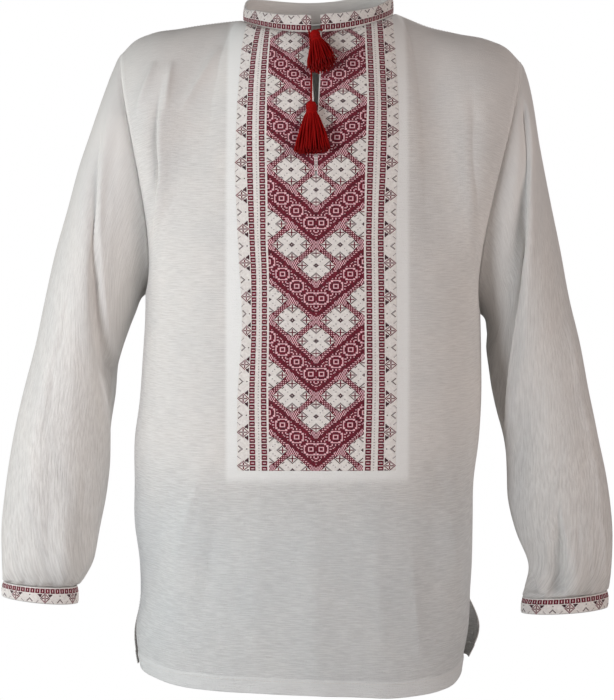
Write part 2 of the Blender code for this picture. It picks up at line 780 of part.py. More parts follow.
def strand_mesh(top, axis, length, skirt):
    """Vertices and faces of the strands, spread evenly over an oval that widens to the tips."""
    width, depth, skew = skirt
    across, ahead = frame_of(axis)
    vertices, faces = [], []
    for i in range(STRANDS):
        out = math.sqrt((i + 0.5) / STRANDS)
        turn = i * GOLDEN_ANGLE
        side, forward = out * math.cos(turn), out * math.sin(turn)
        reach = length * (1 - 0.07 * out**2 + skew * side)
        rings = (
            # down, across, ahead, radius
            (12.5, 4.8 * side, 4.8 * forward, 0.5 * STRAND_RADIUS),
            (0.55 * reach, 0.40 * width * side, 0.42 * depth * forward, STRAND_RADIUS),
            (reach, 0.47 * width * side, 0.45 * depth * forward, 0.8 * STRAND_RADIUS),
        )
        start = len(vertices)
        for down, x, y, radius in rings:
            for k in range(3):
                spin = turn + 2 * math.pi * k / 3
                point = top + axis * down + across * (x + radius * math.cos(spin))
                vertices.append(point + ahead * (y + radius * math.sin(spin)))
        for r in range(len(rings) - 1):
            for k in range(3):
                a, b = start + 3 * r + k, start + 3 * r + (k + 1) % 3
                faces.append([a, b, b + 3, a + 3])
        faces.append([start + 2, start + 1, start])
        faces.append([start + 3 * (len(rings) - 1) + k for k in range(3)])
    return vertices, faces


def main():
    for thing in list(bpy.data.objects):
        bpy.data.objects.remove(thing)
    linen = material("linen", (0.80, 0.79, 0.77), 0.85)
    band = material("embroidered band", (0.74, 0.62, 0.62), 0.8)
    red = material("red cotton", (0.42, 0.02, 0.02), 0.75)

    front_points = panel_points(-1, NECK_CELLS)
    back_points = panel_points(1, NECK_CELLS)
    middle = front_points.shape[1] // 2 - 1
    levels = front_points[:, middle, 2]

    def in_slit(i, j):
        return j == middle and levels[i + 1] > NECK_SLIT_BOTTOM_Z

    def corners(points):
        last = points.shape[1] - 1
        return {"side_corner": BODY_CELLS - 1, "top_corners": (SHOULDER_CELLS, last - SHOULDER_CELLS)}

    collar = collar_points(front_points, back_points)
    pieces = {
        "body_front": Cloth("body", front_points, skip=in_slit, **corners(front_points)),
        "body_back": Cloth("body", back_points, flip=True, **corners(back_points)),
        "sleeve_right": Cloth("sleeve", sleeve_points(-1), flip=True),
        "sleeve_left": Cloth("sleeve", sleeve_points(1)),
        "cuff_right": Cloth("cuff", cuff_points(-1), flip=True),
        "cuff_left": Cloth("cuff", cuff_points(1)),
        "collar": Cloth("collar", collar, flip=True),
    }
    face_directions(pieces)
    front, back = pieces["body_front"], pieces["body_back"]
    front.points += front.normals * panel_folds(front.points, FRONT_FOLDS)[..., None]
    back.points += back.normals * panel_folds(back.points, BACK_FOLDS)[..., None]
    for name, hand in (("sleeve_right", -1), ("sleeve_left", 1)):
        sleeve = pieces[name]
        sleeve.points += sleeve.normals * sleeve_folds(sleeve.points, hand)[..., None]
    face_directions(pieces)

    body_wall = np.full(len(front.points), LINEN)
    body_wall[:2] = HEM_FOLD
    walls = {
        "body_front": (body_wall, linen),
        "body_back": (body_wall, linen),
        "sleeve_right": (LINEN, linen),
        "sleeve_left": (LINEN, linen),
        "cuff_right": ((LINEN, BAND, BAND), band),
        "cuff_left": ((LINEN, BAND, BAND), band),
        "collar": ((LINEN, BAND, BAND, BAND), band),
    }
    for name, (wall, finish) in walls.items():
        sew(name, pieces[name], wall, finish)

    place = places_on(front)
    upper = [place(*row) for row in UPPER_TASSEL]
    lower = [place(*row) for row in LOWER_TASSEL]
    tassel("tassel_upper", upper, UPPER_SKIRT, [place(*row) for row in UPPER_LOOP], red)
    tassel("tassel_lower", lower, LOWER_SKIRT, [], red)
    axis = (lower[1] - lower[0]) / np.linalg.norm(lower[1] - lower[0])
    route = [place(*row) for row in TIE_CORD]
    route += [lower[0] - axis * 4, lower[0] - axis * SEAM_GAP]
    cord("tie_cord", route, red)


main()
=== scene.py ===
"""Looks of an embroidered linen shirt: cloth, cross stitch, sewing, cord and tassels.

Tables are in millimetres unless they say otherwise. +X is the wearer's left, -Y the front, +Z up.
"""

import json
import math
from functools import lru_cache

import bpy
import numpy as np
from mathutils import Matrix, Vector
from mathutils.bvhtree import BVHTree

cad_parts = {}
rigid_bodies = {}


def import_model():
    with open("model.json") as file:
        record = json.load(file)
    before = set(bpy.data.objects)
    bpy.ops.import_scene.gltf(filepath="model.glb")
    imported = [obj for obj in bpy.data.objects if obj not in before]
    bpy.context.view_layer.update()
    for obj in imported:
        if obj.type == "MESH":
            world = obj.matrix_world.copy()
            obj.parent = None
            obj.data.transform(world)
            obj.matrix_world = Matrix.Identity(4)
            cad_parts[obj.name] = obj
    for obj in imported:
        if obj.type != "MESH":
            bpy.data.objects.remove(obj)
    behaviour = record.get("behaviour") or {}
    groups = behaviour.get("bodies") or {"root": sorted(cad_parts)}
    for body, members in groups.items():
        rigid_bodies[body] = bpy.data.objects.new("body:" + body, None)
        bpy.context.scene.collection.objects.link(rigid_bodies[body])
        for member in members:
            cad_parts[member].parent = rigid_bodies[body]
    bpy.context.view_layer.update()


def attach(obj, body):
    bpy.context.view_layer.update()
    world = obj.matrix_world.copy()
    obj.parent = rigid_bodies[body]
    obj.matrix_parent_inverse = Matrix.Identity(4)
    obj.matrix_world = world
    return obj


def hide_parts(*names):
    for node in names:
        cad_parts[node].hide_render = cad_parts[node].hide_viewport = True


bl_info = {
    "name": "Embroidered linen shirt",
    "version": (1, 0, 0),
    "blender": (4, 5, 0),
    "location": "View3D > Sidebar > Shirt",
    "description": "Sews a worn linen shirt with a cross-stitched front, collar and cuffs",
    "category": "Object",
}

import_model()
ROOT = "root"
MM = 0.001
HANDS = {"right": -1, "left": 1}

# Levels and openings
HEM_Z = -772.0
HEM_DEPTH = 18.0
SLIT_TOP_Z = -680.0
RIGHT_UNDERARM_Z = -322.0
LEFT_UNDERARM_Z = -345.0
ROUNDNESS = 2.5
SIDE_Y = 8.0
BODY = (
    # z, x of right side, x of left side, y of front, y of back
    (-772, -205, 178, -129, 102),
    (-725, -209, 182, -126, 105),
    (-680, -206, 181.5, -123, 106),
    (-636, -207, 184, -120, 104),
    (-589, -213, 185, -117, 98),
    (-542, -213, 186, -116, 91),
    (-495, -213, 192, -117, 87),
    (-448, -207, 195, -120, 86),
    (-400, -203.5, 195, -123, 88),
    (-353, -200.5, 194, -125, 92),
    (-302, -200, 193, -125, 96),
)
HEM_LIFT = (
    # share of the half width, lift of the front, lift of the back
    (-1.0, 17.0, 10.0),
    (-0.92, 13.5, 8.5),
    (-0.8, 8.6, 5.0),
    (-0.6, 5.6, 2.0),
    (-0.3, 4.2, 0.0),
    (0.0, 2.2, 0.0),
    (0.28, 0.0, 0.0),
    (0.45, -2.0, 0.0),
    (0.62, -1.4, 2.0),
    (0.8, 1.0, 7.0),
    (0.92, 5.0, 13.0),
    (1.0, 13.0, 18.0),
)
SHOULDER_Y = 6.0
SHOULDER_SHARE = (0, 0.25, 0.5, 0.75, 0.9, 1)
RIGHT_SHOULDER_Z = (0, -4, -9, -14.5, -24.5, -39.5)
LEFT_SHOULDER_Z = (8, -7, -15, -22, -32.5, -48.5)
RIGHT_TIP_X = -230.5
LEFT_TIP_X = 243.0
NECK_X = 3.5
NECK_HALF_WIDTH = 88.5
NECK_Y = 6.0
NECK_FRONT = 72.0
NECK_BACK = 54.0
NECK_SHARE = 0.64  # the neck's share of the panels' half width
SLIT_EDGE_TURN = {-1: 5.5, 1: 1.5}  # degrees round from the front to the slit's edges
COLLAR_LEAN = 8.0
COLLAR_RISE = (
    # degrees round from the front, height
    (-180, 26.0),
    (-125, 26.0),
    (-105, 24.0),
    (-88, 18.0),
    (-72, 16.2),
    (-58, 19.0),
    (-40, 20.0),
    (-22, 21.0),
    (0, 23.5),
    (13, 22.4),
    (30, 21.4),
    (50, 19.5),
    (65, 20.5),
    (82, 23.5),
    (105, 26.0),
    (180, 26.0),
)
NECK_SLIT_BOTTOM_Z = -191.0
NECK_SLIT = (
    # z, half width
    (-772, 4.0),
    (-302, 4.0),
    (-215, 2.2),
    (-191, 0.6),
    (-150, 0.9),
    (-110, 2.6),
    (-70, 4.6),
    (-20, 5.5),
)
ARMHOLE_FRONT = 60.0
ARMHOLE_BACK = 54.0
ARMHOLE_INWARD = 13.0
RIGHT_SLEEVE = (
    # outer x, outer z, inner x, inner z, middle y, half depth
    (-230.5, -39.5, -201, -322, 7, 48),
    (-246, -78, -207, -330, 6, 60),
    (-261, -122, -211, -340, 5, 70),
    (-277.5, -170, -217, -354, 5, 76),
    (-291.5, -222, -223, -370, 5, 77),
    (-306, -274, -230, -391, 4, 75),
    (-318, -328, -236, -417, 3, 72),
    (-329, -382, -237, -448, 1, 70),
    (-342, -434, -240.5, -484, -3, 68),
    (-353, -486, -242, -522, -8, 66),
    (-361, -540, -246, -560, -13, 63),
    (-366, -592, -253, -598, -17, 59),
    (-365, -634, -259, -632, -21, 52),
    (-363.5, -650, -269, -652, -24, 42),
    (-363, -657, -278, -663, -25, 33),
)
LEFT_SLEEVE = (
    (243, -48.5, 194, -345, 7, 48),
    (250.5, -80, 199, -352, 6, 60),
    (258.5, -118, 202, -361, 5, 70),
    (267, -165, 204, -373, 5, 76),
    (277, -216, 203, -389, 5, 77),
    (288, -270, 205.5, -410, 4, 75),
    (298, -325, 209, -436, 3, 72),
    (310.5, -380, 214, -465, 1, 70),
    (319.5, -432, 221, -496, -3, 68),
    (329.5, -486, 225, -530, -8, 66),
    (340, -540, 226.5, -566, -13, 63),
    (345.5, -592, 235, -602, -17, 59),
    (344, -638, 249, -638, -21, 52),
    (341.5, -658, 245, -664, -24, 42),
    (339, -668, 241.5, -676, -25, 34),
)
ARMHOLE_REACH = 2.6  # rings over which the armhole's outline turns into the sleeve's
LAST_RING = 14
RIGHT_CUFF = (-364.5, -673.5, -277, -683, -26, 34)
LEFT_CUFF = (339, -687, 239, -694, -26, 35)

# How finely each piece is drawn
SHOULDER_COLUMNS = 54
NECK_COLUMNS = 38
BODY_ROWS = 84
ARMHOLE_ROWS = 84
RING_ANGLES = np.arange(0, 360, 2.5)
SLEEVE_STEPS = 130
COLLAR_STEPS = 8

# Soft folds: a line from point to point, with its height and half width
FRONT_FOLDS = (
    # x, z, x, z, height, half width
    (112, 20, 113, -215, 2.8, 14),
    (-120, -500, -168, -720, 4, 24),
    (-176, -560, -186, -680, -6, 14),
    (128, -500, 140, -765, -2.5, 20),
    (160, -540, 152, -740, 2, 15),
)
BACK_FOLDS = (
    (-150, -90, -120, -330, 7, 20),
    (148, -95, 112, -340, 7, 20),
    (-96, -360, -128, -740, 8, 24),
    (-30, -420, -44, -765, -6, 26),
    (44, -380, 40, -760, 7, 26),
    (112, -420, 128, -750, -6, 22),
)
# Finer creases, with crisper tops than the folds
FRONT_CREASES = (
    (-108, -40, -154, -118, 5.5, 8),
    (-184, -58, -206, -124, 5.5, 6),
    (-165, -58, -171, -118, 4.5, 6),
    (-150, -200, -178, -250, -1.6, 9),
    (-112, -190, -160, -214, 0.9, 9),
    (-108, -262, -168, -300, 0.9, 12),
    (176, -78, 184, -150, -1.3, 9),
    (124, -150, 166, -140, 0.8, 11),
    (112, -236, 160, -262, -0.9, 13),
    (-186, -330, -176, -420, 1.8, 8),
    (180, -340, 168, -430, 1.6, 9),
    (-178, -430, -150, -520, -1.6, 12),
    (-126, -516, -158, -632, 2.2, 9),
    (-160, -610, -176, -700, -1.8, 8),
    (-108, -560, -130, -700, -1.6, 12),
    (-60, -560, -72, -740, 1.2, 14),
    (-1, -545, -3, -802, 3.6, 28),
    (62, -556, 76, -744, 1.4, 13),
    (130, -512, 158, -580, -2.4, 9),
    (150, -560, 164, -664, 1.8, 8),
    (104, -600, 118, -750, 1.6, 10),
    (-98, -60, -96, -500, -0.8, 9),
    (98, -230, 98, -500, -0.6, 9),
)
BACK_CREASES = (
    (-166, -84, -150, -220, 2.4, 8),
    (168, -92, 148, -232, 2.2, 8),
    (-120, -110, -70, -190, -1.8, 13),
    (122, -116, 78, -200, -1.8, 12),
    (-50, -70, 40, -86, 1.6, 12),
    (-176, -240, -140, -310, -2.2, 9),
    (172, -250, 138, -330, -2.0, 9),
    (-90, -260, 60, -292, 1.2, 14),
    (-70, -420, -90, -640, 2.0, 11),
    (10, -440, 4, -700, -1.8, 13),
    (76, -430, 92, -690, 2.0, 10),
    (-150, -470, -166, -640, -2.0, 10),
    (150, -500, 160, -680, 1.8, 9),
    (-120, -600, -128, -764, 1.8, 9),
    (110, -640, 116, -766, -1.6, 9),
)
# Where cloth folds over itself: x and z down the line, how deep the valley is, its width toward
# the wearer's right and left, and how soon it deepens from the top and dies out at the foot
FRONT_LAPS = (
    (
        (
            *((-172, -72), (-178, -105), (-181.5, -132), (-182.6, -152)),
            *((-180.5, -183), (-185, -223), (-190, -262)),
        ),
        (9.5, 17, 5, 80, 30),
    ),
    (((176, -96), (178, -130), (178, -170), (183, -217), (188, -290)), (3.0, 15, 18, 50, 60)),
)
RIGHT_SLEEVE_LAPS = (
    (
        ((-243, -100), (-250, -160), (-251, -244), (-248, -308), (-242, -389), (-236, -430), (-235, -500)),
        (10, 19, 6, 120, 90),
    ),
)
LEFT_SLEEVE_LAPS = (
    (((240, -92), (244, -160), (239, -217), (236, -262), (233, -320)), (8, 15, 4, 30, 80)),
    (
        ((240, -175), (238.5, -225), (235.5, -275), (229, -332), (222, -389), (218.6, -446), (217.5, -503)),
        (19, 38, 4, 130, 70),
    ),
    (((272, -548), (276, -580), (280, -620), (282, -668)), (7, 26, 4, 60, 8)),
    (((243, -612), (247, -640), (254, -670)), (9, 18, 3.5, 30, 4)),
)
SEAT_RIPPLES = (
    # x, z, x, z, height, half width, for both front and back above the hem
    (-170, -742, -60, -752, 0.7, 5),
    (-40, -748, 80, -744, 0.6, 5),
    (96, -750, 160, -742, 0.7, 5),
)

# The deep fold of each sleeve: its angle round the ring, from the outside by way of the front
FOLD_RINGS = (0, 1, 2, 3, 4, 5, 6, 7, 8, 9, 14)
RIGHT_FOLD_ANGLE = (40, 52, 66, 78, 88, 105, 128, 150, 168, 178, 190)
LEFT_FOLD_ANGLE = (38, 46, 60, 72, 82, 97, 112, 135, 158, 176, 190)
FOLD_HEIGHT = (0, 1, 2, 3, 4, 4, 4, 3, 2, 1, 0)
RIGHT_SLEEVE_FOLDS = (
    # ring, angle, ring, angle, height, half width
    (6, 62, 11, 74, 4, 13),
    (10, 112, 14, 128, 5, 13),
    (11, 40, 14, 34, 4, 12),
    (3, 236, 9, 214, 7, 18),
    (5, 290, 12, 276, 6, 18),
    (11, 232, 14, 244, 5, 14),
)
LEFT_SLEEVE_FOLDS = (
    (5, 40, 13, 34, 4, 14),
    (11, 96, 14, 84, 7, 13),
    (11.5, 122, 14, 108, -6, 12),
    (3, 240, 9, 218, 7, 18),
    (5, 292, 12, 280, 6, 18),
    (11, 238, 14, 250, 5, 14),
)
# Crisp creases on the front half of each sleeve
RIGHT_SLEEVE_CREASES = (
    # x, z, x, z, height, half width
    (-281, -322, -289, -380, -2.0, 3.5),
    (-288, -372, -297, -404, -2.2, 3.5),
    (-297, -398, -303, -464, -2.4, 3.5),
    (-302, -458, -309, -488, -1.8, 3.5),
    (-272, -330, -282, -520, 1.2, 9),
    (-318, -420, -330, -600, 1.4, 9),
    (-300, -520, -306, -650, -1.6, 7),
    (-282, -540, -290, -655, 1.6, 7),
    (-262, -500, -268, -640, -1.8, 7),
    (-330, -560, -338, -652, -1.6, 6),
    (-248, -580, -262, -652, 2.0, 6),
    (-226, -120, -232, -200, -1.4, 8),
    (-232, -210, -236, -300, 1.4, 8),
)
LEFT_SLEEVE_CREASES = (
    (222, -262, 208, -320, 1.2, 5),
    (290, -350, 304, -446, 3.0, 8),
    (303, -440, 317, -500, 3.2, 8),
    (315, -490, 327, -584, 3.6, 8),
    (326, -574, 332, -656, 3.0, 7),
    (243, -600, 247, -660, 2.2, 7),
    (262, -430, 268, -560, 1.2, 9),
    (296, -560, 300, -660, -1.8, 6),
    (312, -600, 316, -664, 1.6, 5),
    (236, -470, 240, -560, -1.4, 8),
)
# The same on the back half
RIGHT_BACK_CREASES = (
    (-244, -110, -246, -240, -2.2, 8),
    (-262, -200, -250, -360, 2.2, 8),
    (-296, -300, -304, -440, 1.8, 8),
    (-280, -420, -292, -560, -2.0, 9),
    (-256, -470, -262, -620, 2.0, 8),
    (-320, -500, -330, -640, -1.8, 7),
    (-300, -580, -304, -654, 1.8, 6),
)
LEFT_BACK_CREASES = (
    (252, -120, 250, -240, -2.2, 8),
    (262, -220, 246, -370, 2.2, 8),
    (290, -310, 298, -450, 1.8, 8),
    (270, -430, 276, -570, -2.0, 9),
    (240, -480, 248, -620, 2.0, 8),
    (314, -520, 322, -650, -1.8, 7),
    (292, -590, 294, -664, 1.8, 6),
)
# Gathers where a sleeve is taken in by its cuff: angle, how far up in rings, height, half width
GATHERS = (
    (6, 3.0, 1.5, 4.0),
    (19, 2.2, -1.3, 3.6),
    (33, 3.6, 1.7, 4.4),
    (46, 1.9, -1.2, 3.2),
    (58, 2.6, 1.4, 3.8),
    (71, 3.9, -1.7, 4.2),
    (86, 2.1, 1.3, 3.4),
    (97, 3.0, 1.5, 3.8),
    (112, 2.4, -1.5, 4.0),
    (125, 3.4, 1.6, 4.2),
    (141, 2.0, -1.2, 3.6),
    (155, 2.8, 1.4, 4.0),
    (168, 2.2, -1.3, 3.6),
    (183, 3.2, 1.6, 4.4),
    (199, 2.4, -1.4, 3.8),
    (213, 3.8, 1.7, 4.4),
    (226, 2.0, -1.2, 3.4),
    (241, 2.9, 1.5, 4.0),
    (256, 3.5, -1.6, 4.2),
    (270, 2.2, 1.3, 3.6),
    (283, 2.7, 1.5, 4.0),
    (299, 3.3, -1.5, 4.2),
    (312, 2.1, 1.3, 3.6),
    (328, 2.9, 1.5, 4.2),
    (345, 2.3, -1.4, 4.0),
)

# Cross stitch of the front: columns are counted from the middle, rows up from the foot
COLUMNS = 72
FIELD = 43  # the last column of the V-shaped field
INNER_BORDER = (46, 50)
# The column of grey dots: painted shade of the linen ground showing between stitches
SHADE_LINE = 53
OUTER_BORDER = 56
ROWS = 522
PERIOD = 80
FLOWER = 22
RING_STEP = 13
ROW_HEIGHT = (
    # row, z
    (0, -522.9),
    (80, -439.6),
    (160, -356.2),
    (240, -272.9),
    (298, -212.0),
    (320, -189.3),
    (365, -143.9),
    (400, -111.3),
    (437, -79.3),
    (458, -58.9),
    (473, -46.8),
    (480, -40.4),
    (522, -2.0),
)
PLACED_COLUMNS = (-72, -59, -48, -0.5, 0.5, 48, 59, 72)
COLUMN_PLACE = (
    # row, x of the placed columns but for the middle two
    (0, -87.1, -70.2, -57.1, 57.2, 71.7, 88.0),
    (80, -86.7, -71.0, -58.0, 59.2, 73.0, 89.3),
    (160, -81.5, -68.6, -57.2, 59.0, 72.3, 88.9),
    (216, -84.6, -69.0, -57.6, 58.5, 71.8, 88.4),
    (240, -86.0, -70.3, -58.7, 58.2, 71.5, 88.1),
    (280, -88.0, -72.0, -59.1, 59.1, 72.1, 88.9),
    (320, -89.8, -73.4, -59.8, 60.0, 74.2, 90.6),
    (360, -89.0, -74.2, -60.5, 61.4, 75.6, 92.2),
    (400, -87.9, -73.7, -59.9, 62.5, 75.9, 92.2),
    (437, -86.0, -72.4, -58.8, 61.8, 75.2, 91.2),
    (470, -84.4, -69.4, -57.2, 61.0, 74.2, 90.0),
    (522, -78.0, -62.0, -54.0, 60.0, 73.0, 88.5),
)
STRIP_ROWS = 17  # rows of the narrow border that also covers the collar and cuffs
STRIP_REPEAT = 36
COLLAR_STITCH = 0.99
CUFF_REPEATS = 7
CUFF_START = {-1: 3, 1: 15}
STITCH_FOOT = 0.12  # how far the foot of a stitch stands off the cloth
# The grey code stands for the linen ground showing between stitches; its grey is painted shade of those gaps,
# drawn as stitches
WHITE, PINK, PAINTED_SHADE, MAROON, BLACK = range(5)
THREADS = {
    # material, and its colours in shade and in light; the pink is white that took some dye
    WHITE: ("white stranded cotton", "white_dark", "white_thread"),
    PINK: ("pinkish stranded cotton", "pink_dark", "pink"),
    # The grey is painted shade of the linen ground between stitches
    PAINTED_SHADE: ("grey stitches painted as gap shade", "shade_dark", "shade"),
    MAROON: ("maroon stranded cotton", "maroon_dark", "maroon"),
    BLACK: ("near-black stranded cotton", "black_dark", "black"),
}
# Marks of a corner between two rings: cells out from its corner, each way
CORNER_MARKS = (
    *((2, 4), (2, 7), (2, 10), (3, 4), (3, 7), (4, 2), (4, 3)),
    *((5, 6), (6, 5), (7, 2), (7, 3), (10, 2)),
)

# Tie cord and tassels, as x, down from the neck seam and out from the cloth
CORD_DIAMETER = 2.2
CORD_TWIST = 0.16  # turns for each millimetre
TIE_CORD = (
    (-7.8, 3, 1.6),
    (-7.2, 13, 1.7),
    (-6.4, 27, 1.8),
    (-5.6, 45, 1.8),
    (-5.0, 68, 1.8),
    (-5.2, 86, 2.4),
)
UPPER_TASSEL = ((-2.0, 18, 10.5), (9.5, 69, 13.0))
LOWER_TASSEL = ((-5.3, 101.5, 7.8), (-4.0, 161, 10.5))
UPPER_SKIRT = (37, 16, -0.06, 0.24)
LOWER_SKIRT = (43, 16, -0.02, 0.07)
UPPER_LOOP = ((6.9, 5, 1.8), (5.6, 9, 4.2), (2.4, 13.5, 7.6))
HEAD_PROFILE = ((0, 1.6), (1.4, 4.6), (5.0, 5.8), (9.0, 5.1), (10.6, 5.0), (13.4, 6.4), (15.0, 6.6))
HEAD_HEIGHT = 15.2
BUNDLE = 4.6  # half width of the strands where they leave the head
STRAND_TOP = 12.0
WINDINGS = (8.2, 9.3, 10.4, 11.4)  # down the head
GOLDEN_ANGLE = math.radians(137.508)

# Rows and columns of the cloth's grid that the sewing follows
HEM_ROW = 5
INSET = 3

SLUB_MIDDLE = 0.56  # the usual level of the slubs' noise
COLOURS = {
    # key: name, description, sRGB
    "linen": ("Linen", "Lit yarns", "#eae8e5"),
    "linen_shade": ("Linen shade", "Sunken yarns", "#d5d2cf"),
    "cool_tint": ("Cool tint", "Cooler patches", "#dcdee0"),
    "warm_tint": ("Warm tint", "Warmer patches", "#fdf8f4"),
    "backed": ("Backed linen", "Round the stitching", "#f6f6f4"),
    "sheer": ("Sheer linen", "Below the backing", "#d8e4ea"),
    "turned": ("Turned linen", "Over seam turnings", "#f9f7f4"),
    "white_thread": ("White thread", "Lit", "#faf6f2"),
    "white_dark": ("White thread shade", "Sunken", "#e9e3df"),
    "pink": ("Pink thread", "Lit", "#fad4da"),
    "pink_dark": ("Pink shade", "Sunken", "#ecbcc4"),
    "maroon": ("Maroon thread", "Lit", "#820c2c"),
    "maroon_dark": ("Maroon shade", "Sunken", "#4c0618"),
    "black": ("Black thread", "Lit", "#552832"),
    "black_dark": ("Black shade", "Sunken", "#2c1019"),
    # The two grey colours are painted shade of the linen ground showing between stitches
    "shade": ("Painted gap shade", "Lit", "#b9b0b0"),
    "shade_dark": ("Grey shade", "Sunken", "#93878a"),
    "tassel": ("Tassel red", "Lit threads", "#b80f0d"),
    "tassel_dark": ("Tassel shade", "Deep threads", "#7c0706"),
}
LIGHTS = (
    # name, place, size, power, sRGB
    ("window", (-0.9, -0.9, -0.3), 0.6, 8.5, "#f8fbff"),
    ("doorway", (-2.2, -0.5, 0.0), 1.2, 14.0, "#fffef6"),
    ("bounce", (1.9, -2.0, 0.2), 1.8, 34.5, "#fff3ee"),
    ("behind", (0.6, 2.2, 0.9), 1.4, 36.0, "#ffffff"),
)


# ---------------------------------------------------------------- shape of the cloth


def of_hand(hand, right, left):
    """The wearer's right or left one of a pair."""
    return right if hand < 0 else left


def smooth_curve(at, values):
    """A function that reads a smooth curve through the rows of a table."""
    at, values = np.asarray(at, float), np.asarray(values, float)
    slopes = np.gradient(values, at, axis=0)

    def read(t):
        t = np.clip(np.asarray(t, float), at[0], at[-1])
        row = np.clip(np.searchsorted(at, t) - 1, 0, len(at) - 2)
        step = at[row + 1] - at[row]
        share = (t - at[row]) / step
        if values.ndim > 1:
            share, step = share[..., None], step[..., None]
        a, b = share**2 * (3 - 2 * share), share * (1 - share)
        ends = values[row] * (1 - a) + values[row + 1] * a
        return ends + step * b * (slopes[row] * (1 - share) - slopes[row + 1] * share)

    return read


def read_table(table):
    """A smooth curve from the first column of a table to its other columns."""
    table = np.array(table, float)
    return smooth_curve(table[:, 0], table[:, 1:].squeeze())


def ease(share):
    """Goes from 0 to 1 with no corner at either end."""
    share = np.clip(share, 0, 1)
    return share**2 * (3 - 2 * share)


body_outline = read_table(BODY)
neck_slit = read_table(NECK_SLIT)
collar_rise = read_table(COLLAR_RISE)
hem_lifts = read_table(HEM_LIFT)


def neckline(turn, share=0.0):
    """A point on the neck opening, turn degrees round from the front, or that share up the collar."""
    side, ahead = math.sin(math.radians(turn)), math.cos(math.radians(turn))
    lean = COLLAR_LEAN * share
    depth = NECK_FRONT - lean if ahead > 0 else NECK_BACK - 0.3 * lean
    return (
        NECK_X + (NECK_HALF_WIDTH - 0.2 * lean) * side,
        NECK_Y - depth * ahead,
        4 - 17 * ahead - 14 * ahead**2 + 4 * side + share * float(collar_rise(turn)),
    )


def shoulder_seam(hand, share):
    """A point on a shoulder seam, from the neck at 0 to the tip at 1. hand is -1 for the right."""
    start = NECK_X + hand * NECK_HALF_WIDTH
    tip = of_hand(hand, RIGHT_TIP_X, LEFT_TIP_X)
    drop = smooth_curve(SHOULDER_SHARE, of_hand(hand, RIGHT_SHOULDER_Z, LEFT_SHOULDER_Z))
    return (start + (tip - start) * share, SHOULDER_Y, float(drop(share)))


def armhole_height(angle):
    """Height on an armhole: 1 at the tip, -1 at the underarm."""
    down = min(angle, 360 - angle) / 90
    return 0.6 * math.cos(math.radians(angle)) + 0.4 * (1 - down)


def armhole(hand, angle):
    """A point on an armhole: the tip at 0 degrees, the front at 90, the underarm at 180."""
    tip = np.array(shoulder_seam(hand, 1))
    low = of_hand(hand, RIGHT_UNDERARM_Z, LEFT_UNDERARM_Z)
    right, left = body_outline(low)[:2]
    underarm = np.array((of_hand(hand, right, left), SIDE_Y, low))
    turn = math.radians(angle)
    low = max(0.0, math.sin(turn) * (1 - math.cos(turn)) / 1.3)
    bulge = -ARMHOLE_FRONT if angle < 180 else ARMHOLE_BACK
    middle, half = (tip + underarm) / 2, (tip - underarm) / 2
    point = middle + half * armhole_height(angle)
    point[1] += bulge * abs(math.sin(turn))
    point[0] -= hand * ARMHOLE_INWARD * low
    return point


def columns(side):
    """The columns of the front (side -1) or back (1): share of the half width, and top point."""
    made = []
    for hand in (-1, 1):
        half = []
        for i in range(SHOULDER_COLUMNS + 1):
            out = 1 - i / SHOULDER_COLUMNS
            angle = math.asin(NECK_SHARE ** (ROUNDNESS / 2))
            angle += (math.pi / 2 - angle) * out
            half.append((hand * math.sin(angle) ** (2 / ROUNDNESS), out, shoulder_seam(hand, out)))
        edge = SLIT_EDGE_TURN[hand] if side < 0 else 0
        for i in range(1, NECK_COLUMNS + 1):
            turn = 90 - (90 - edge) * i / NECK_COLUMNS
            even = 0.5 * (1 - i / NECK_COLUMNS) + 0.5 * math.sin(math.radians(turn))
            top = neckline(hand * (turn if side < 0 else 180 - turn))
            half.append((hand * NECK_SHARE * even, 0.0, top))
        if hand > 0:
            half.reverse()
            half = half[1:] if side > 0 else half
        made += half
    return made


def body_levels():
    """Middle height and tilt of the rows below the underarms, with close rows at the hem."""
    chest, tilt = (RIGHT_UNDERARM_Z + LEFT_UNDERARM_Z) / 2, (LEFT_UNDERARM_Z - RIGHT_UNDERARM_Z) / 2
    hem = HEM_Z + np.array([0, 1, 3, 7, 11, 15, 16.8, 17.6, 18.4, 19.4])
    above = np.linspace(HEM_Z + HEM_DEPTH + 6, chest, BODY_ROWS - len(hem))
    levels = np.concatenate([hem, above])
    return [(z, tilt * max(0.0, (z - SLIT_TOP_Z) / (chest - SLIT_TOP_Z)) ** 2) for z in levels]


def slit_spread(side, hand, z):
    """How far a panel's edge moves (out, back) below the top of its side slit."""
    down = ease((SLIT_TOP_Z - z) / (SLIT_TOP_Z - HEM_Z))
    swell = math.sin(math.pi * min(1.0, max(0.0, (SLIT_TOP_Z - z) / (SLIT_TOP_Z - HEM_Z))))
    if side < 0:
        return (-8.0 * down if hand > 0 else 2.0 * swell - 1.0 * down, -10.0 * down)
    return (4.0 * down + 11.0 * swell if hand > 0 else 6.0 * down + 3.0 * swell, 9.0 * down)


def hem_lift(side, shares, level):
    """How far the uneven hem lifts points of the front or back, which fades to the slits' tops."""
    lift = hem_lifts(shares)[:, 0 if side < 0 else 1]
    return lift * np.maximum(0.0, (SLIT_TOP_Z - level) / (SLIT_TOP_Z - HEM_Z))


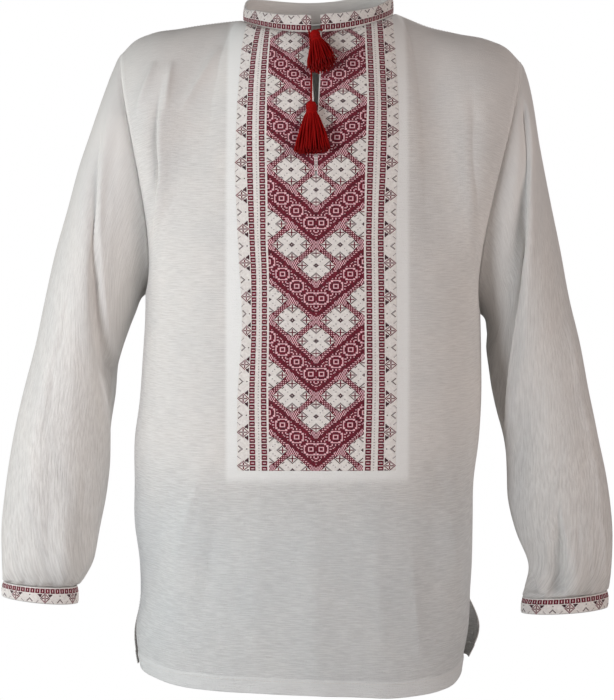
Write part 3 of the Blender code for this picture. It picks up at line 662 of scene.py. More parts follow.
def lower_row(side, shares, level, tilt):
    """One row of the front or back, below the underarms."""
    shares = np.array(shares)
    heights = level + tilt * shares
    right, left, front, back = body_outline(heights).T
    bow = (1 - np.abs(shares) ** ROUNDNESS) ** (1 / ROUNDNESS)
    reach = (front if side < 0 else back) - SIDE_Y
    across = (right + left) / 2 * np.abs(shares) ** 1.5 + (left - right) / 2 * shares
    row = np.stack([across, SIDE_Y + reach * bow, heights + hem_lift(side, shares, level)], 1)
    for hand in (-1, 1):
        out, backward = slit_spread(side, hand, level)
        near = ease((hand * shares - 0.55) / 0.45)
        row[:, 0] += hand * out * near
        row[:, 1] += backward * near
    return row


def part_slit(points):
    """Parts the front's two middle columns by the width of the neck slit."""
    middle = points.shape[-2] // 2
    for hand, column in ((-1, middle - 1), (1, middle)):
        points[..., column, 0] = hand * neck_slit(points[..., column, 2])
    return points


@lru_cache(maxsize=None)
def panel_points(side):
    """The rows of points of the front or back, from the hem to the shoulders, with its folds."""
    shares, outs, tops = zip(*columns(side))
    rows = [lower_row(side, shares, level, tilt) for level, tilt in body_levels()]
    chest = rows[-1]
    tops = np.array(tops)
    to_edge = ease(np.array(outs))
    blunt = 2 + (0.8 * ease(np.abs(tops[:, 0]) / NECK_HALF_WIDTH) if side > 0 else 0)
    for k in range(1, ARMHOLE_ROWS + 1):
        angle = 180 * (1 - k / ARMHOLE_ROWS)
        inside = math.sin(math.pi * k / ARMHOLE_ROWS / 2)
        rise = to_edge * (1 + armhole_height(angle)) / 2 + (1 - to_edge) * inside
        over = 1 - np.maximum(0.0, 1 - rise**blunt) ** (1 / blunt)
        across = to_edge * rise + (1 - to_edge) * over
        row = chest + (tops - chest) * np.stack([across, over, rise], 1)
        if side > 0:
            row[:, 1] += 10 * np.sin(math.pi * rise) * (1 - to_edge)
        for hand, corner in ((-1, 0), (1, -1)):
            edge = armhole(hand, angle if side < 0 else 360 - angle) - row[corner]
            row += (to_edge * (np.sign(shares) == hand))[:, None] * edge
        rows.append(row)
    points = np.array(rows)
    return crease_panel(part_slit(points) if side < 0 else points, side)


def crease_panel(points, side):
    """Adds a panel's folds and creases, which die away at its seams, and its turned hem."""
    count_rows, count_columns = points.shape[:2]
    i, j = np.mgrid[0:count_rows, 0:count_columns]
    to_side = np.minimum(j, count_columns - 1 - j) * 6 / SHOULDER_COLUMNS
    to_top = (count_rows - 1 - i) * 14 / ARMHOLE_ROWS
    x, z = points[..., 0], points[..., 2]
    level = np.full(count_rows, 0.0)
    level[:BODY_ROWS] = [low for low, _ in body_levels()]
    soft = line_height(x, z, FRONT_FOLDS if side < 0 else BACK_FOLDS)
    soft = soft * ease(np.minimum(to_side / 2, np.minimum(to_top / 3, 1)))
    crisp = line_height(x, z, FRONT_CREASES if side < 0 else BACK_CREASES, crisp=True)
    crisp = crisp + line_height(x, z, SEAT_RIPPLES)
    if side < 0:
        crisp = crisp + lap_height(x, z, FRONT_LAPS)
    crisp = crisp * ease(np.minimum(to_side / 0.8, np.minimum(to_top / 1.5, 1)))
    below_arm = (z > SLIT_TOP_Z) * (i < BODY_ROWS)
    seam = -0.5 * np.exp(-((to_top / 0.12) ** 2)) - 0.5 * np.exp(-((to_side / 0.08) ** 2)) * below_arm
    above_hem = (level - HEM_Z)[:, None]
    hem = 0.7 * ease((HEM_DEPTH + 0.2 - above_hem) / 1.0)
    ripple = 0.8 * np.sin(x / 11 + 1.2 * np.sin(x / 37)) * np.exp(-((above_hem - 6) / 16) ** 2)
    facing = normals_of(points, False) * -side
    return points + facing * (soft + crisp + seam + hem + ripple)[..., None]


def lap_height(across, along, laps):
    """Sum of the valleys beside folded edges, each with a low lip on its short side."""
    total = np.zeros(np.broadcast(across, along).shape)
    for line, (depth, right, left, from_top, to_foot) in laps:
        line = np.array(line, float)
        reach = ease((line[0, 1] - along) / from_top) * ease((along - line[-1, 1]) / to_foot)
        gap = across - smooth_curve(-line[:, 1], line[:, 0])(-along)
        valley = np.maximum(0, 1 - np.abs(gap) / np.where(gap < 0, right, left)) ** 2
        lip = 0.17 * np.exp(-(((gap if left < right else -gap) - 5) ** 2) / 50)
        total += depth * reach * (lip - valley)
    return total


def line_height(across, along, folds, crisp=False):
    """Sum of the ridges and troughs of a table. Crisp ones come to a narrow top."""
    total = np.zeros(np.broadcast(across, along).shape)
    for a0, b0, a1, b1, height, width in folds:
        run = (a1 - a0, b1 - b0)
        share = ((across - a0) * run[0] + (along - b0) * run[1]) / (run[0] ** 2 + run[1] ** 2)
        near = np.clip(share, 0, 1)
        gap = np.hypot(across - a0 - near * run[0], along - b0 - near * run[1]) / width
        shape = np.exp(-(np.sqrt(gap**2 + 0.06) - 0.245) * 1.6) if crisp else np.exp(-(gap**2))
        total += height * shape * np.sin(math.pi * near) ** 0.7
    return total


def normals_of(points, is_round):
    """Unit directions square to a grid of points."""
    if is_round:
        along = np.roll(points, -1, 1) - np.roll(points, 1, 1)
    else:
        along = np.gradient(points, axis=1)
    facing = np.cross(along, np.gradient(points, axis=0))
    return facing / np.maximum(np.linalg.norm(facing, axis=-1, keepdims=True), 1e-9)


def ring_points(ring):
    """An oval ring from (outer x, outer z, inner x, inner z, middle y, half depth)."""
    outer_x, outer_z, inner_x, inner_z, y, depth = ring
    turn = np.radians(RING_ANGLES)
    outward = (1 + np.cos(turn)) / 2
    x = inner_x + (outer_x - inner_x) * outward
    return np.stack([x, y - depth * np.sin(turn), inner_z + (outer_z - inner_z) * outward], 1)


def sleeve_rings():
    """Where the sleeve's rows lie, in rings, close together at both seams."""
    ends = [0, 0.04, 0.1, 0.18, 0.3]
    middle = np.linspace(0.42, 13.6, SLEEVE_STEPS)
    return np.concatenate([ends, middle, [13.74, 13.86, 13.95, LAST_RING]])


@lru_cache(maxsize=None)
def sleeve_points(hand):
    """The rings of one sleeve with its folds, from the armhole down to the cuff."""
    table = of_hand(hand, RIGHT_SLEEVE, LEFT_SLEEVE)
    read = smooth_curve(range(len(table)), table)
    end = ring_points(read(ARMHOLE_REACH))
    end_run = (ring_points(read(ARMHOLE_REACH + 0.1)) - end) * 10 * ARMHOLE_REACH
    seam = np.array([armhole(hand, angle) for angle in RING_ANGLES])
    turn = np.radians(RING_ANGLES)
    top = np.maximum(0, np.cos(turn)) ** 2
    out, down = (0.75 - 0.27 * top) * hand, -0.25 - 0.45 * np.cos(turn) ** 2 - 0.08 * top
    start_run = np.stack([out, -0.5 * np.sin(turn), down], 1) * (62 + 28 * np.cos(turn))[:, None]
    rows = []
    for ring in sleeve_rings():
        t = ring / ARMHOLE_REACH
        if t < 1:
            row = seam + (end - seam) * ease(t)
            rows.append(row + start_run * t * (1 - t) ** 2 - end_run * t * t * (1 - t))
        else:
            rows.append(ring_points(read(ring)))
    return crease_sleeve(np.array(rows), hand)


def crease_sleeve(points, hand):
    """Adds a sleeve's deep fold, creases and gathers, which die away at its seams."""
    ring = sleeve_rings()[:, None]
    angle = RING_ANGLES[None, :]
    to_cuff = LAST_RING - ring
    past = angle - smooth_curve(FOLD_RINGS, of_hand(hand, RIGHT_FOLD_ANGLE, LEFT_FOLD_ANGLE))(ring)
    before = 0.5 * np.exp(-((past / 34) ** 2))
    lap = np.where(past < 0, before, 0.5 - 1.5 * ease(past / 20) + ease((past - 26) / 60))
    soft = smooth_curve(FOLD_RINGS, FOLD_HEIGHT)(ring) * lap
    per_ring = 12  # degrees that are as wide as the step from ring to ring
    table = of_hand(hand, RIGHT_SLEEVE_FOLDS, LEFT_SLEEVE_FOLDS)
    folds = [(a0, r0 * per_ring, a1, r1 * per_ring, h, w) for r0, a0, r1, a1, h, w in table]
    soft = soft + line_height(angle, ring * per_ring, folds)
    soft = soft * ease(np.minimum(ring / 1.5, np.minimum(to_cuff / 0.8, 1)))
    points = points + normals_of(points, True) * hand * soft[..., None]

    x, z = points[..., 0], points[..., 2]
    forward = np.sin(np.radians(angle)) / 0.25
    front = line_height(x, z, of_hand(hand, RIGHT_SLEEVE_CREASES, LEFT_SLEEVE_CREASES), crisp=True)
    back = line_height(x, z, of_hand(hand, RIGHT_BACK_CREASES, LEFT_BACK_CREASES), crisp=True)
    laps = lap_height(x, z, of_hand(hand, RIGHT_SLEEVE_LAPS, LEFT_SLEEVE_LAPS))
    crisp = (front + laps) * ease(forward) + back * ease(-forward)
    crisp = crisp * ease(np.minimum(ring / 0.8, np.minimum(to_cuff / 0.25, 1)))
    for at, reach, height, width in GATHERS:
        gap = (angle - at + 180) % 360 - 180
        dying = np.clip(1 - to_cuff / reach, 0, 1) ** 1.4
        held = 0.35 + 0.65 * ease(to_cuff / 0.3)
        crisp = crisp + height * np.exp(-((gap / width) ** 2)) * dying * held
    seam = 0.5 * np.exp(-(((ring - 0.22) / 0.12) ** 2)) - 0.8 * np.exp(-((to_cuff / 0.1) ** 2))
    under = -0.6 * np.exp(-(((angle - 180) / 2.0) ** 2))
    facing = normals_of(points, True) * hand
    points = points + facing * (crisp + seam + under)[..., None]
    # The first ring is turned in under the edge of the body
    ahead_run = points[2] - points[0]
    ahead_run /= np.linalg.norm(ahead_run, axis=1)[:, None]
    points[0] -= facing[0] * 0.25 + ahead_run * 1.2
    return points


@lru_cache(maxsize=None)
def cuff_points(hand):
    """The rings of a cuff, from the sleeve seam to the wrist, a little rounded across."""
    top = np.array(of_hand(hand, RIGHT_SLEEVE, LEFT_SLEEVE)[-1])
    low = np.array(of_hand(hand, RIGHT_CUFF, LEFT_CUFF))
    shares = np.linspace(0, 1, 9)[:, None]
    points = np.array([ring_points(top + (low - top) * share) for share in shares])
    bulge = 0.9 * np.sin(math.pi * shares) + 0.5 * np.sin(5 * np.radians(RING_ANGLES) + 0.8 * hand)
    return points + normals_of(points, True) * hand * (bulge * ease(shares / 0.3))[..., None]


@lru_cache(maxsize=None)
def collar_points():
    """The rows of the standing collar, from the slit's right edge round the back to its left."""
    keep = slice(SHOULDER_COLUMNS, -SHOULDER_COLUMNS)
    front, back = (np.array([top for _, _, top in columns(side)])[keep] for side in (-1, 1))
    front = part_slit(front)
    half = len(front) // 2
    seam = np.concatenate([front[:half][::-1], back[1:-1], front[half:][::-1]])
    turns = [turn_of(point) for point in seam]
    rows = [seam]
    for i in range(1, COLLAR_STEPS + 1):
        row = np.array([neckline(turn, i / COLLAR_STEPS) for turn in turns])
        row[[0, -1], 0] = seam[[0, -1], 0]
        rows.append(row)
    points = np.array(rows)
    share = np.linspace(0, 1, COLLAR_STEPS + 1)[:, None]
    along = np.linspace(0, 1, len(seam))[None, :]
    wave = 0.7 * np.sin(math.pi * share) + 0.8 * share * np.sin(19 * along + 2 * np.sin(7 * along))
    points = points - normals_of(points, False) * (wave * ease(share / 0.3))[..., None]
    points[..., 2] -= 2.2 * ease(1 - np.minimum(along, 1 - along) * len(seam) / 2.2) * share**6
    return points


def turn_of(point):
    """How far round the neck a point of its seam lies, in degrees from the front."""
    depth = NECK_FRONT if point[1] < NECK_Y else NECK_BACK
    side, ahead = (point[0] - NECK_X) / NECK_HALF_WIDTH, (NECK_Y - point[1]) / depth
    return math.degrees(math.atan2(side, ahead))


@lru_cache(maxsize=None)
def front_tree():
    """The front's surface, to set stitches on it."""
    points = panel_points(-1)
    return BVHTree.FromPolygons(points.reshape(-1, 3).tolist(), grid_faces(points, slit=True))


def distances(points, axis=0):
    """How far along its line each point of a line or of a grid's lines lies."""
    steps = np.linalg.norm(np.diff(points, axis=axis), axis=-1).cumsum(axis=axis)
    return np.concatenate([np.zeros_like(steps.take([0], axis)), steps], axis=axis)


def read_line(line, at, where):
    """Points of a line, where at says how far along it each of its own points lies."""
    return np.stack([np.interp(where, at, column) for column in line.T], -1)


def unit(vector):
    """Vectors brought to a length of 1."""
    return vector / np.linalg.norm(vector, axis=-1, keepdims=True)


def places_on_front():
    """A function for points over the front: x, how far down from the neck seam, how far out."""
    points = panel_points(-1)
    column = points[::-1, points.shape[1] // 2, 1:]
    read = smooth_curve(distances(column), column)

    def place(x, down, out):
        y, z = read(down)
        run = unit(read(down + 2) - read(max(down - 2, 0)))
        return np.array([x, y + run[1] * out, z - run[0] * out])

    return place


# ---------------------------------------------------------------- making objects


def colour(code):
    """An sRGB hex colour as linear red, green, blue and alpha."""
    parts = [int(code[i : i + 2], 16) / 255 for i in (1, 3, 5)]
    linear = [p / 12.92 if p <= 0.04045 else ((p + 0.055) / 1.055) ** 2.4 for p in parts]
    return (*linear, 1.0)


def settle(thing, **values):
    """Sets a thing's own values and gives it back."""
    for name, value in values.items():
        setattr(thing, name, value)
    return thing


def deselect():
    """Leaves no object selected."""
    for thing in bpy.context.selected_objects:
        thing.select_set(False)


def join(pieces):
    """Joins objects into the first of them."""
    deselect()
    for piece in pieces:
        piece.select_set(True)
    bpy.context.view_layer.objects.active = pieces[0]
    bpy.ops.object.join()


def grid_faces(points, is_round=False, flip=False, slit=False):
    """Quads of a grid of points, by index, left out in the neck slit."""
    rows, cols = points.shape[:2]
    quads = []
    for i in range(rows - 1):
        for j in range(cols if is_round else cols - 1):
            if slit and j == cols // 2 - 1 and points[i + 1, j, 2] > NECK_SLIT_BOTTOM_Z:
                continue
            a, b = i * cols + j, i * cols + (j + 1) % cols
            quads.append([a + cols, b + cols, b, a] if flip else [a, b, b + cols, a + cols])
    return quads


def tube_faces(start, rings, sides, uv):
    """Quads of a tube whose vertices begin at start, with UV pairs by ring and side."""
    faces, uvs = [], []
    for i in range(rings - 1):
        for k in range(sides):
            a, b = start + i * sides + k, start + i * sides + (k + 1) % sides
            faces.append([a, a + sides, b + sides, b])
            uvs += [uv(*spot) for spot in ((i, k), (i + 1, k), (i + 1, k + 1), (i, k + 1))]
    return faces, uvs


def mesh_object(name, vertices, faces, uvs, finishes, slots=None, smooth=True):
    """A mesh object from points in millimetres. uvs holds one pair for each face corner."""
    mesh = bpy.data.meshes.new(name)
    mesh.from_pydata((np.asarray(vertices, float) * MM).tolist(), [], faces)
    for finish in finishes:
        mesh.materials.append(finish)
    mesh.uv_layers.new(name="cloth").data.foreach_set("uv", np.asarray(uvs, np.float32).ravel())
    if slots is not None:
        mesh.polygons.foreach_set("material_index", np.asarray(slots, np.int32))
    mesh.polygons.foreach_set("use_smooth", np.full(len(mesh.polygons), smooth))
    mesh.update()
    thing = bpy.data.objects.new(name, mesh)
    bpy.context.scene.collection.objects.link(thing)
    return thing


def fasten(thing, node=None):
    """Hangs a piece on the shirt's one body, and hides the solid it stands for."""
    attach(thing, ROOT)
    if node:
        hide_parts(node)


def over_seam(points, *edges):
    """How far each point lies over the turnings of a seam along the given edge rows of points."""
    away = np.min([np.linalg.norm(points - edge, axis=-1) for edge in edges], axis=0)
    return 0.8 * np.exp(-((away / 3.2) ** 2))


def over_hem(points):
    """How far each point lies over the turning of the hem, which the first row of points edges."""
    return 0.55 * ease((HEM_DEPTH + 0.5 - np.linalg.norm(points - points[:1], axis=-1)) / 1.5)


def cloth_object(name, node, slot, points, finish, thickness, seam=None, **grid):
    """One layer of cloth on a grid of points, with a UV map that measures it in metres.

    seam holds how far each point lies over the turnings of a seam, from 0 to 1, and grid says
    what grid_faces is to know.
    """
    is_round = grid.get("is_round", False)
    cols = points.shape[1]
    quads = grid_faces(points, **grid)
    around = np.concatenate([points, points[:, :1]], axis=1)
    across, along = distances(around, 1), distances(around, 0)
    if not is_round:
        across -= across[:, [cols // 2]]
    used = np.array(quads)
    i, j = used // cols, used % cols
    if is_round:
        wraps = (j.max(axis=1) == cols - 1) & (j.min(axis=1) == 0)
        j = np.where(wraps[:, None] & (j == 0), cols, j)
    uvs = np.stack([across[i, j], along[i, j]], axis=-1).reshape(-1, 2) * MM
    thing = mesh_object(name, points.reshape(-1, 3), quads, uvs, [finish])
    if seam is not None:
        turnings = thing.data.attributes.new("turnings", "FLOAT", "POINT")
        turnings.data.foreach_set("value", np.asarray(seam, np.float32).ravel())
    settle(thing.modifiers.new("thickness", "SOLIDIFY"), thickness=thickness * MM, offset=-1, use_rim=True)
    fasten(thing, node)
    return thing


# ---------------------------------------------------------------- cross stitch


def chart_strip(a, v):
    """Thread of the narrow border: a counts from its squares to its free edge, v along it."""
    near = np.abs((v - 5 + STRIP_REPEAT // 2) % STRIP_REPEAT - STRIP_REPEAT // 2)
    far = STRIP_REPEAT // 2 - near
    thread = np.full(np.broadcast(a, v).shape, WHITE)
    p, q = np.abs(a - 3), np.abs(v % 6 - 2)
    square = (a >= 1) & (a <= 5) & (v % 6 < 5)
    thread[square] = MAROON
    thread[square & (p <= 1) & (q == 0)] = PINK
    thread[square & (p + q == 0)] = WHITE
    ring = np.abs(a - 11) + near
    thread[(ring == 5) & (a > 5)] = MAROON
    thread[(ring >= 1) & (ring <= 3) & ((a == 11) | (near == 0)) & (a > 5)] = MAROON
    width = np.select([near == 8, near == 7, near == 6, near == 5, near == 4], [1, 2, 3, 3, 1], 0)
    thread[(a >= 7) & (a < 7 + width)] = BLACK
    thread[(far <= 3) & (a == 12 + far)] = BLACK
    thread[(far == 0) & (a == 8)] = BLACK
    # Grey marks: painted shade where the linen ground shows between stitches
    thread[((far == 9) & (a == 15)) | ((far == 10) & (a == 14)) | ((far == 8) & (a == 16))] = PAINTED_SHADE
    return thread


def chart_field(a, v):
    """Thread of the V-shaped field: a counts from the middle, v up from the foot."""
    thread = np.full(np.broadcast(a, v).shape, WHITE)
    chain = v - a + FLOWER
    turn = np.floor_divide(chain + PERIOD // 2, PERIOD)
    w = chain - PERIOD * turn
    t = (v + a - PERIOD * turn) % (2 * FLOWER) - FLOWER
    p, q = np.abs((t - w) // 2), np.abs((t + w) // 2)

    # Flowers: four petals between four small diamonds that run out into the lattice
    flower = np.abs(w) < 20
    diamond = np.minimum(np.abs(p - 13) + q, p + np.abs(q - 13))
    inward = np.maximum(p, q) <= 14
    cross = (p == 0) | (q == 0) | (p == 13) | (q == 13)
    thread[flower & (diamond == 5) & inward] = BLACK
    thread[flower & (diamond == 5) & ~inward] = MAROON
    thread[flower & (diamond <= 3) & cross] = MAROON
    thread[flower & (p + q <= 2) & (p + q > 0)] = BLACK
    thread[flower & (((p == 8) & (q == 9)) | ((p == 9) & (q == 8)))] = BLACK
    # Grey cells: painted shade where the linen ground shows between stitches
    thread[flower & (p == q) & ((p == 4) | (p == 6))] = PAINTED_SHADE

    # Lattice of double lines round each flower, chequered where they cross
    far, near = np.maximum(np.abs(w), np.abs(t)), np.minimum(np.abs(w), np.abs(t))
    band = np.abs(w) > 24
    lattice = (far >= 19) & ~band
    thread[lattice] = MAROON
    thread[lattice & (far == 20) & (a % 2 == 0)] = PINK
    thread[lattice & ((far == 22) | (far == 23)) & (v % 2 == 0)] = PINK
    crossing = (~band & (near >= 12) & (diamond > 5)) | (lattice & (near >= 15))
    thread[crossing] = np.where((a + v // 2) % 2 == 0, PINK, MAROON)[crossing]

    # Dark chevrons with a chain of rings, and small marks in the corners between them
    thread[band] = MAROON
    level = np.where(w > 0, turn, turn - 1)
    rise = v - (18 + PERIOD * level)
    side = rise - a
    k = np.maximum(0, np.round((a + side / 2 - 5) / RING_STEP)).astype(int)
    p, q = np.abs(a - 5 - RING_STEP * k), np.abs(rise - 5 - RING_STEP * k)
    ring, other = np.maximum(p, q), np.minimum(p, q)
    light = (ring == 2) | ((ring == 6) & (other <= 4)) | ((ring == 5) & (other >= 3) & (other <= 4))
    thread[band & light & (np.abs(side) <= 13)] = PINK
    for step in range(-1, 5):
        near = RING_STEP * step + 5
        for out, up in CORNER_MARKS:
            thread[band & (a == near + RING_STEP - 6 - out) & (rise == near + 6 + up)] = PINK
            thread[band & (a == near + 6 + up) & (rise == near + RING_STEP - 6 - out)] = PINK
    return thread


def chart_front():
    """Thread of every stitch of the front, row by row from the foot, column by column."""
    v, u = np.mgrid[0:ROWS, -COLUMNS : COLUMNS + 1]
    a = np.abs(u)
    thread = np.where(a <= FIELD, chart_field(a, v), WHITE)
    first, last = INNER_BORDER
    thread = np.where((a >= OUTER_BORDER) & (a <= COLUMNS), chart_strip(a - OUTER_BORDER, v), thread)
    thread = np.where((a >= first) & (a <= last), chart_strip(a - first + 1, v), thread)
    # Grey dots down the shade line: painted shade where the linen ground shows between stitches
    return np.where((a == SHADE_LINE) & (v % 3 == 0), PAINTED_SHADE, thread)


def front_grid():
    """Corner points of the front's stitches, on the cloth, with gaps as nan."""
    tree = front_tree()
    rows = np.arange(ROWS + 1) - 0.5
    heights = np.interp(rows, *zip(*ROW_HEIGHT))
    edges = np.arange(-COLUMNS, COLUMNS + 2) - 0.5
    grid = np.full((len(rows), len(edges), 3), np.nan)
    for i, (z, place) in enumerate(zip(heights, read_table(COLUMN_PLACE)(rows))):
        gap = 0.4 + (float(neck_slit(z)) + 0.25 if z > NECK_SLIT_BOTTOM_Z else 0.0)
        xs = np.interp(edges, PLACED_COLUMNS, [*place[:3], -gap, gap, *place[3:]])
        xs[0], xs[-1] = xs[0] - 0.4, xs[-1] + 0.4
        for j, x in enumerate(xs):
            hit = tree.ray_cast(Vector((x, -400, z)), Vector((0, 1, 0)))[0]
            if hit is not None and hit.y < 0:
                grid[i, j] = hit
    return grid


def stitch_object(name, grid, threads, wanted, outwards=1, spread=1.0):
    """Raised stitches, one little four-sided tuft for each cell whose thread is wanted."""
    chosen = np.isin(threads, list(wanted))
    corners = np.stack([grid[:-1, :-1], grid[:-1, 1:], grid[1:, 1:], grid[1:, :-1]], axis=2)
    chosen &= ~np.isnan(corners).any(axis=(2, 3))
    size = np.linalg.norm(corners[..., 2, :] - corners[..., 0, :], axis=-1)
    chosen &= np.nan_to_num(size, nan=99) < 6
    corners = corners[chosen]
    facing = unit(np.cross(corners[:, 2] - corners[:, 0], corners[:, 3] - corners[:, 1]) * outwards)
    middles = corners.mean(axis=1)
    lift = facing[:, None] * (STITCH_FOOT * spread)
    corners = middles[:, None] + (corners - middles[:, None]) * spread + lift
    tops = middles + facing * (STITCH_FOOT + bpy.context.scene.shirt_sizes.stitch_height)
    vertices = np.concatenate([corners, tops[:, None]], axis=1).reshape(-1, 3)
    order = sorted(wanted)
    slots = np.repeat(np.searchsorted(order, threads[chosen]), 4)
    sides = np.array([[0, 1, 4], [1, 2, 4], [2, 3, 4], [3, 0, 4]])[:, ::outwards]
    faces = np.arange(len(corners))[:, None, None] * 5 + sides
    spots = np.array([(0, 0), (1, 0), (1, 1), (0, 1), (0.5, 0.5)])
    uvs = np.tile(spots[sides.ravel()], (len(corners), 1))
    finishes = [thread_finish(*THREADS[code]) for code in order]
    thing = mesh_object(name, vertices, faces.reshape(-1, 3).tolist(), uvs, finishes, slots, smooth=False)
    fasten(thing)


def strip_grid(points, cells, share_from, share_to, is_round=False):
    """Corner points of a border's stitches on a band: rows across it, columns along it."""
    line = np.concatenate([points, points[:, :1]], axis=1) if is_round else points
    along = distances(line, 1).mean(axis=0)
    rows = np.array([read_line(row, along, np.linspace(0, along[-1], cells + 1)) for row in line])
    levels = np.linspace(0, 1, len(points))
    wanted = np.linspace(share_from, share_to, STRIP_ROWS + 1)
    return np.stack([read_line(column, levels, wanted) for column in rows.swapaxes(0, 1)], 1)


def work_band(name, grid, along, outwards):
    """The stitches of one narrow border, with the dark ones drawn over the rest."""
    threads = chart_strip(*np.meshgrid(np.arange(STRIP_ROWS), along, indexing="ij"))
    # The light stitches carry the grey cells of painted gap shade too
    for ending, wanted, spread in (("", {WHITE, PINK, PAINTED_SHADE}, 1.0), ("_dark", {BLACK, MAROON}, 1.3)):
        stitch_object(name + ending, grid, threads, wanted, outwards, spread)


# ---------------------------------------------------------------- materials


def add_node(tree, kind, values=None, output=0):
    """Adds a node, sets or links what values names, and gives one of its outputs."""
    made = tree.nodes.new("ShaderNode" + kind)
    for name, value in (values or {}).items():
        if isinstance(name, str) and name not in made.inputs:
            setattr(made, name, value)
        elif isinstance(value, bpy.types.NodeSocket):
            tree.links.new(value, made.inputs[name])
        else:
            made.inputs[name].default_value = value
    return made.outputs[output] if made.outputs else None


def calculate(tree, operation, *values):
    """One sum on values or sockets."""
    return add_node(tree, "Math", {"operation": operation, **dict(enumerate(values))})


def mix(tree, share, first, second, blend="MIX"):
    """A share of the second colour over the first."""
    values = {"data_type": "RGBA", "blend_type": blend, 0: share, 6: first, 7: second}
    return add_node(tree, "Mix", values, 2)


def smooth_step(tree, *values):
    """Eases a value that goes from one level to another into a range: value, from, to, low, high."""
    return add_node(tree, "MapRange", {"interpolation_type": "SMOOTHSTEP", **dict(enumerate(values))})


def colour_ramp(tree, source, low, dark, high, light):
    """A colour from dark, where the source is low, to light, where it is high."""
    made = add_node(tree, "ValToRGB", {"Fac": source})
    for stop, place, code in zip(made.node.color_ramp.elements, (low, high), (dark, light)):
        stop.position = place
        stop.color = colour(code)
    return made


def noise(tree, source, stretch, **values):
    """Cloudy noise on coordinates that are stretched first."""
    place = add_node(tree, "Mapping", {"Scale": stretch, "Vector": source})
    values = {name.capitalize(): value for name, value in values.items()}
    return add_node(tree, "TexNoise", {"Scale": 1.0, **values, "Vector": place})


def place_along(tree, axis):
    """The coordinate on the shirt along one axis, in metres."""
    return add_node(tree, "SeparateXYZ", {0: add_node(tree, "TexCoord", output="Object")}, axis)


def new_material(name, roughness, sheen=0.0, sheen_roughness=0.5, specular=0.5):
    """A material with its Principled shader's own values set."""
    made = bpy.data.materials.new(name)
    made.use_nodes = True
    inputs = made.node_tree.nodes["Principled BSDF"].inputs
    inputs["Roughness"].default_value = roughness
    inputs["Sheen Weight"].default_value = sheen
    inputs["Sheen Roughness"].default_value = sheen_roughness
    inputs["Specular IOR Level"].default_value = specular
    return made, made.node_tree


def colour_and_relief(tree, base, height, strength, distance):
    """Links a material's colour and the relief of its surface to its shader."""
    inputs = tree.nodes["Principled BSDF"].inputs
    tree.links.new(base, inputs["Base Color"])
    bump = add_node(tree, "Bump", {"Strength": strength, "Distance": distance, "Height": height})
    tree.links.new(bump, inputs["Normal"])


def fade(tree, source, fades):
    """A strength that changes between pairs of heights on the shirt: z, z, from, to."""
    strength = None
    for z_from, z_to, low, high in fades:
        step = smooth_step(tree, source, z_from * MM, z_to * MM, low, high)
        strength = calculate(tree, "MULTIPLY", strength, step) if strength else step
    return strength


def linen(name, slub, crinkle, weights, fades, halo=False):
    """Washed linen and cotton cloth.

    Uneven yarns show as long slubs across the piece, and creasing in the wash leaves fine
    lengthwise crinkles. It is matt, with a faint bloom of loose fibres at grazing angles.
    """
    made = bpy.data.materials.get(name)
    if made:
        return made
    looks = bpy.context.scene.shirt_looks
    made, tree = new_material(name, 0.88, 0.12, 0.6, 0.25)
    uv = add_node(tree, "UVMap", {"uv_map": "cloth"})
    strength = fade(tree, place_along(tree, 2), fades)
    # Slubs about 17 mm long, drawn 1.1 mm thick where the real ones are about 0.6 mm
    slubs = noise(tree, uv, slub, detail=4.0, roughness=0.6, distortion=0.2)
    crinkles = noise(tree, uv, crinkle, detail=3.0, roughness=0.55, distortion=0.35)
    # Weave of 0.5 mm yarns, drawn at 1.1 mm so that it shows
    grain = noise(tree, uv, (900, 900, 900), detail=1.0)
    clouds = noise(tree, uv, (1, 1, 1), scale=14.0, detail=3.0)
    centred = calculate(tree, "SUBTRACT", slubs, SLUB_MIDDLE)
    shown = calculate(tree, "MULTIPLY_ADD", centred, strength, SLUB_MIDDLE)
    base = colour_ramp(tree, shown, 0.28, looks.linen_shade, 0.62, looks.linen)
    tint = colour_ramp(tree, clouds, 0.3, looks.cool_tint, 0.7, looks.warm_tint)
    base = mix(tree, 0.3, base, tint, "MULTIPLY")
    turnings = add_node(tree, "Attribute", {"attribute_name": "turnings"}, "Fac")
    base = mix(tree, turnings, base, colour(looks.turned))
    if halo:
        base = backing(tree, base, looks)
    height = 0.0
    for texture, weight in zip((slubs, crinkles, grain), weights):
        height = calculate(tree, "MULTIPLY_ADD", texture, weight, height)
    height = calculate(tree, "MULTIPLY", height, strength)
    colour_and_relief(tree, base, height, 0.75, 0.0012)
    return made


def backing(tree, base, looks):
    """Whiter cloth where the stitching is backed, to about 10 mm outside its edge.

    Below it the single cloth is a little sheer, and greyer from the back cloth behind it.
    """
    up = place_along(tree, 2)
    aside = calculate(tree, "ABSOLUTE", calculate(tree, "SUBTRACT", place_along(tree, 0), 0.0015))
    inside = smooth_step(tree, aside, 0.1050, 0.0985, 0.0, 1.0)
    above = smooth_step(tree, up, -0.542, -0.528, 0.0, 1.0)
    share = calculate(tree, "MULTIPLY", calculate(tree, "MULTIPLY", inside, above), 0.85)
    below = smooth_step(tree, up, -0.480, -0.610, 0.0, 0.3)
    return mix(tree, share, mix(tree, below, base, colour(looks.sheer)), colour(looks.backed))


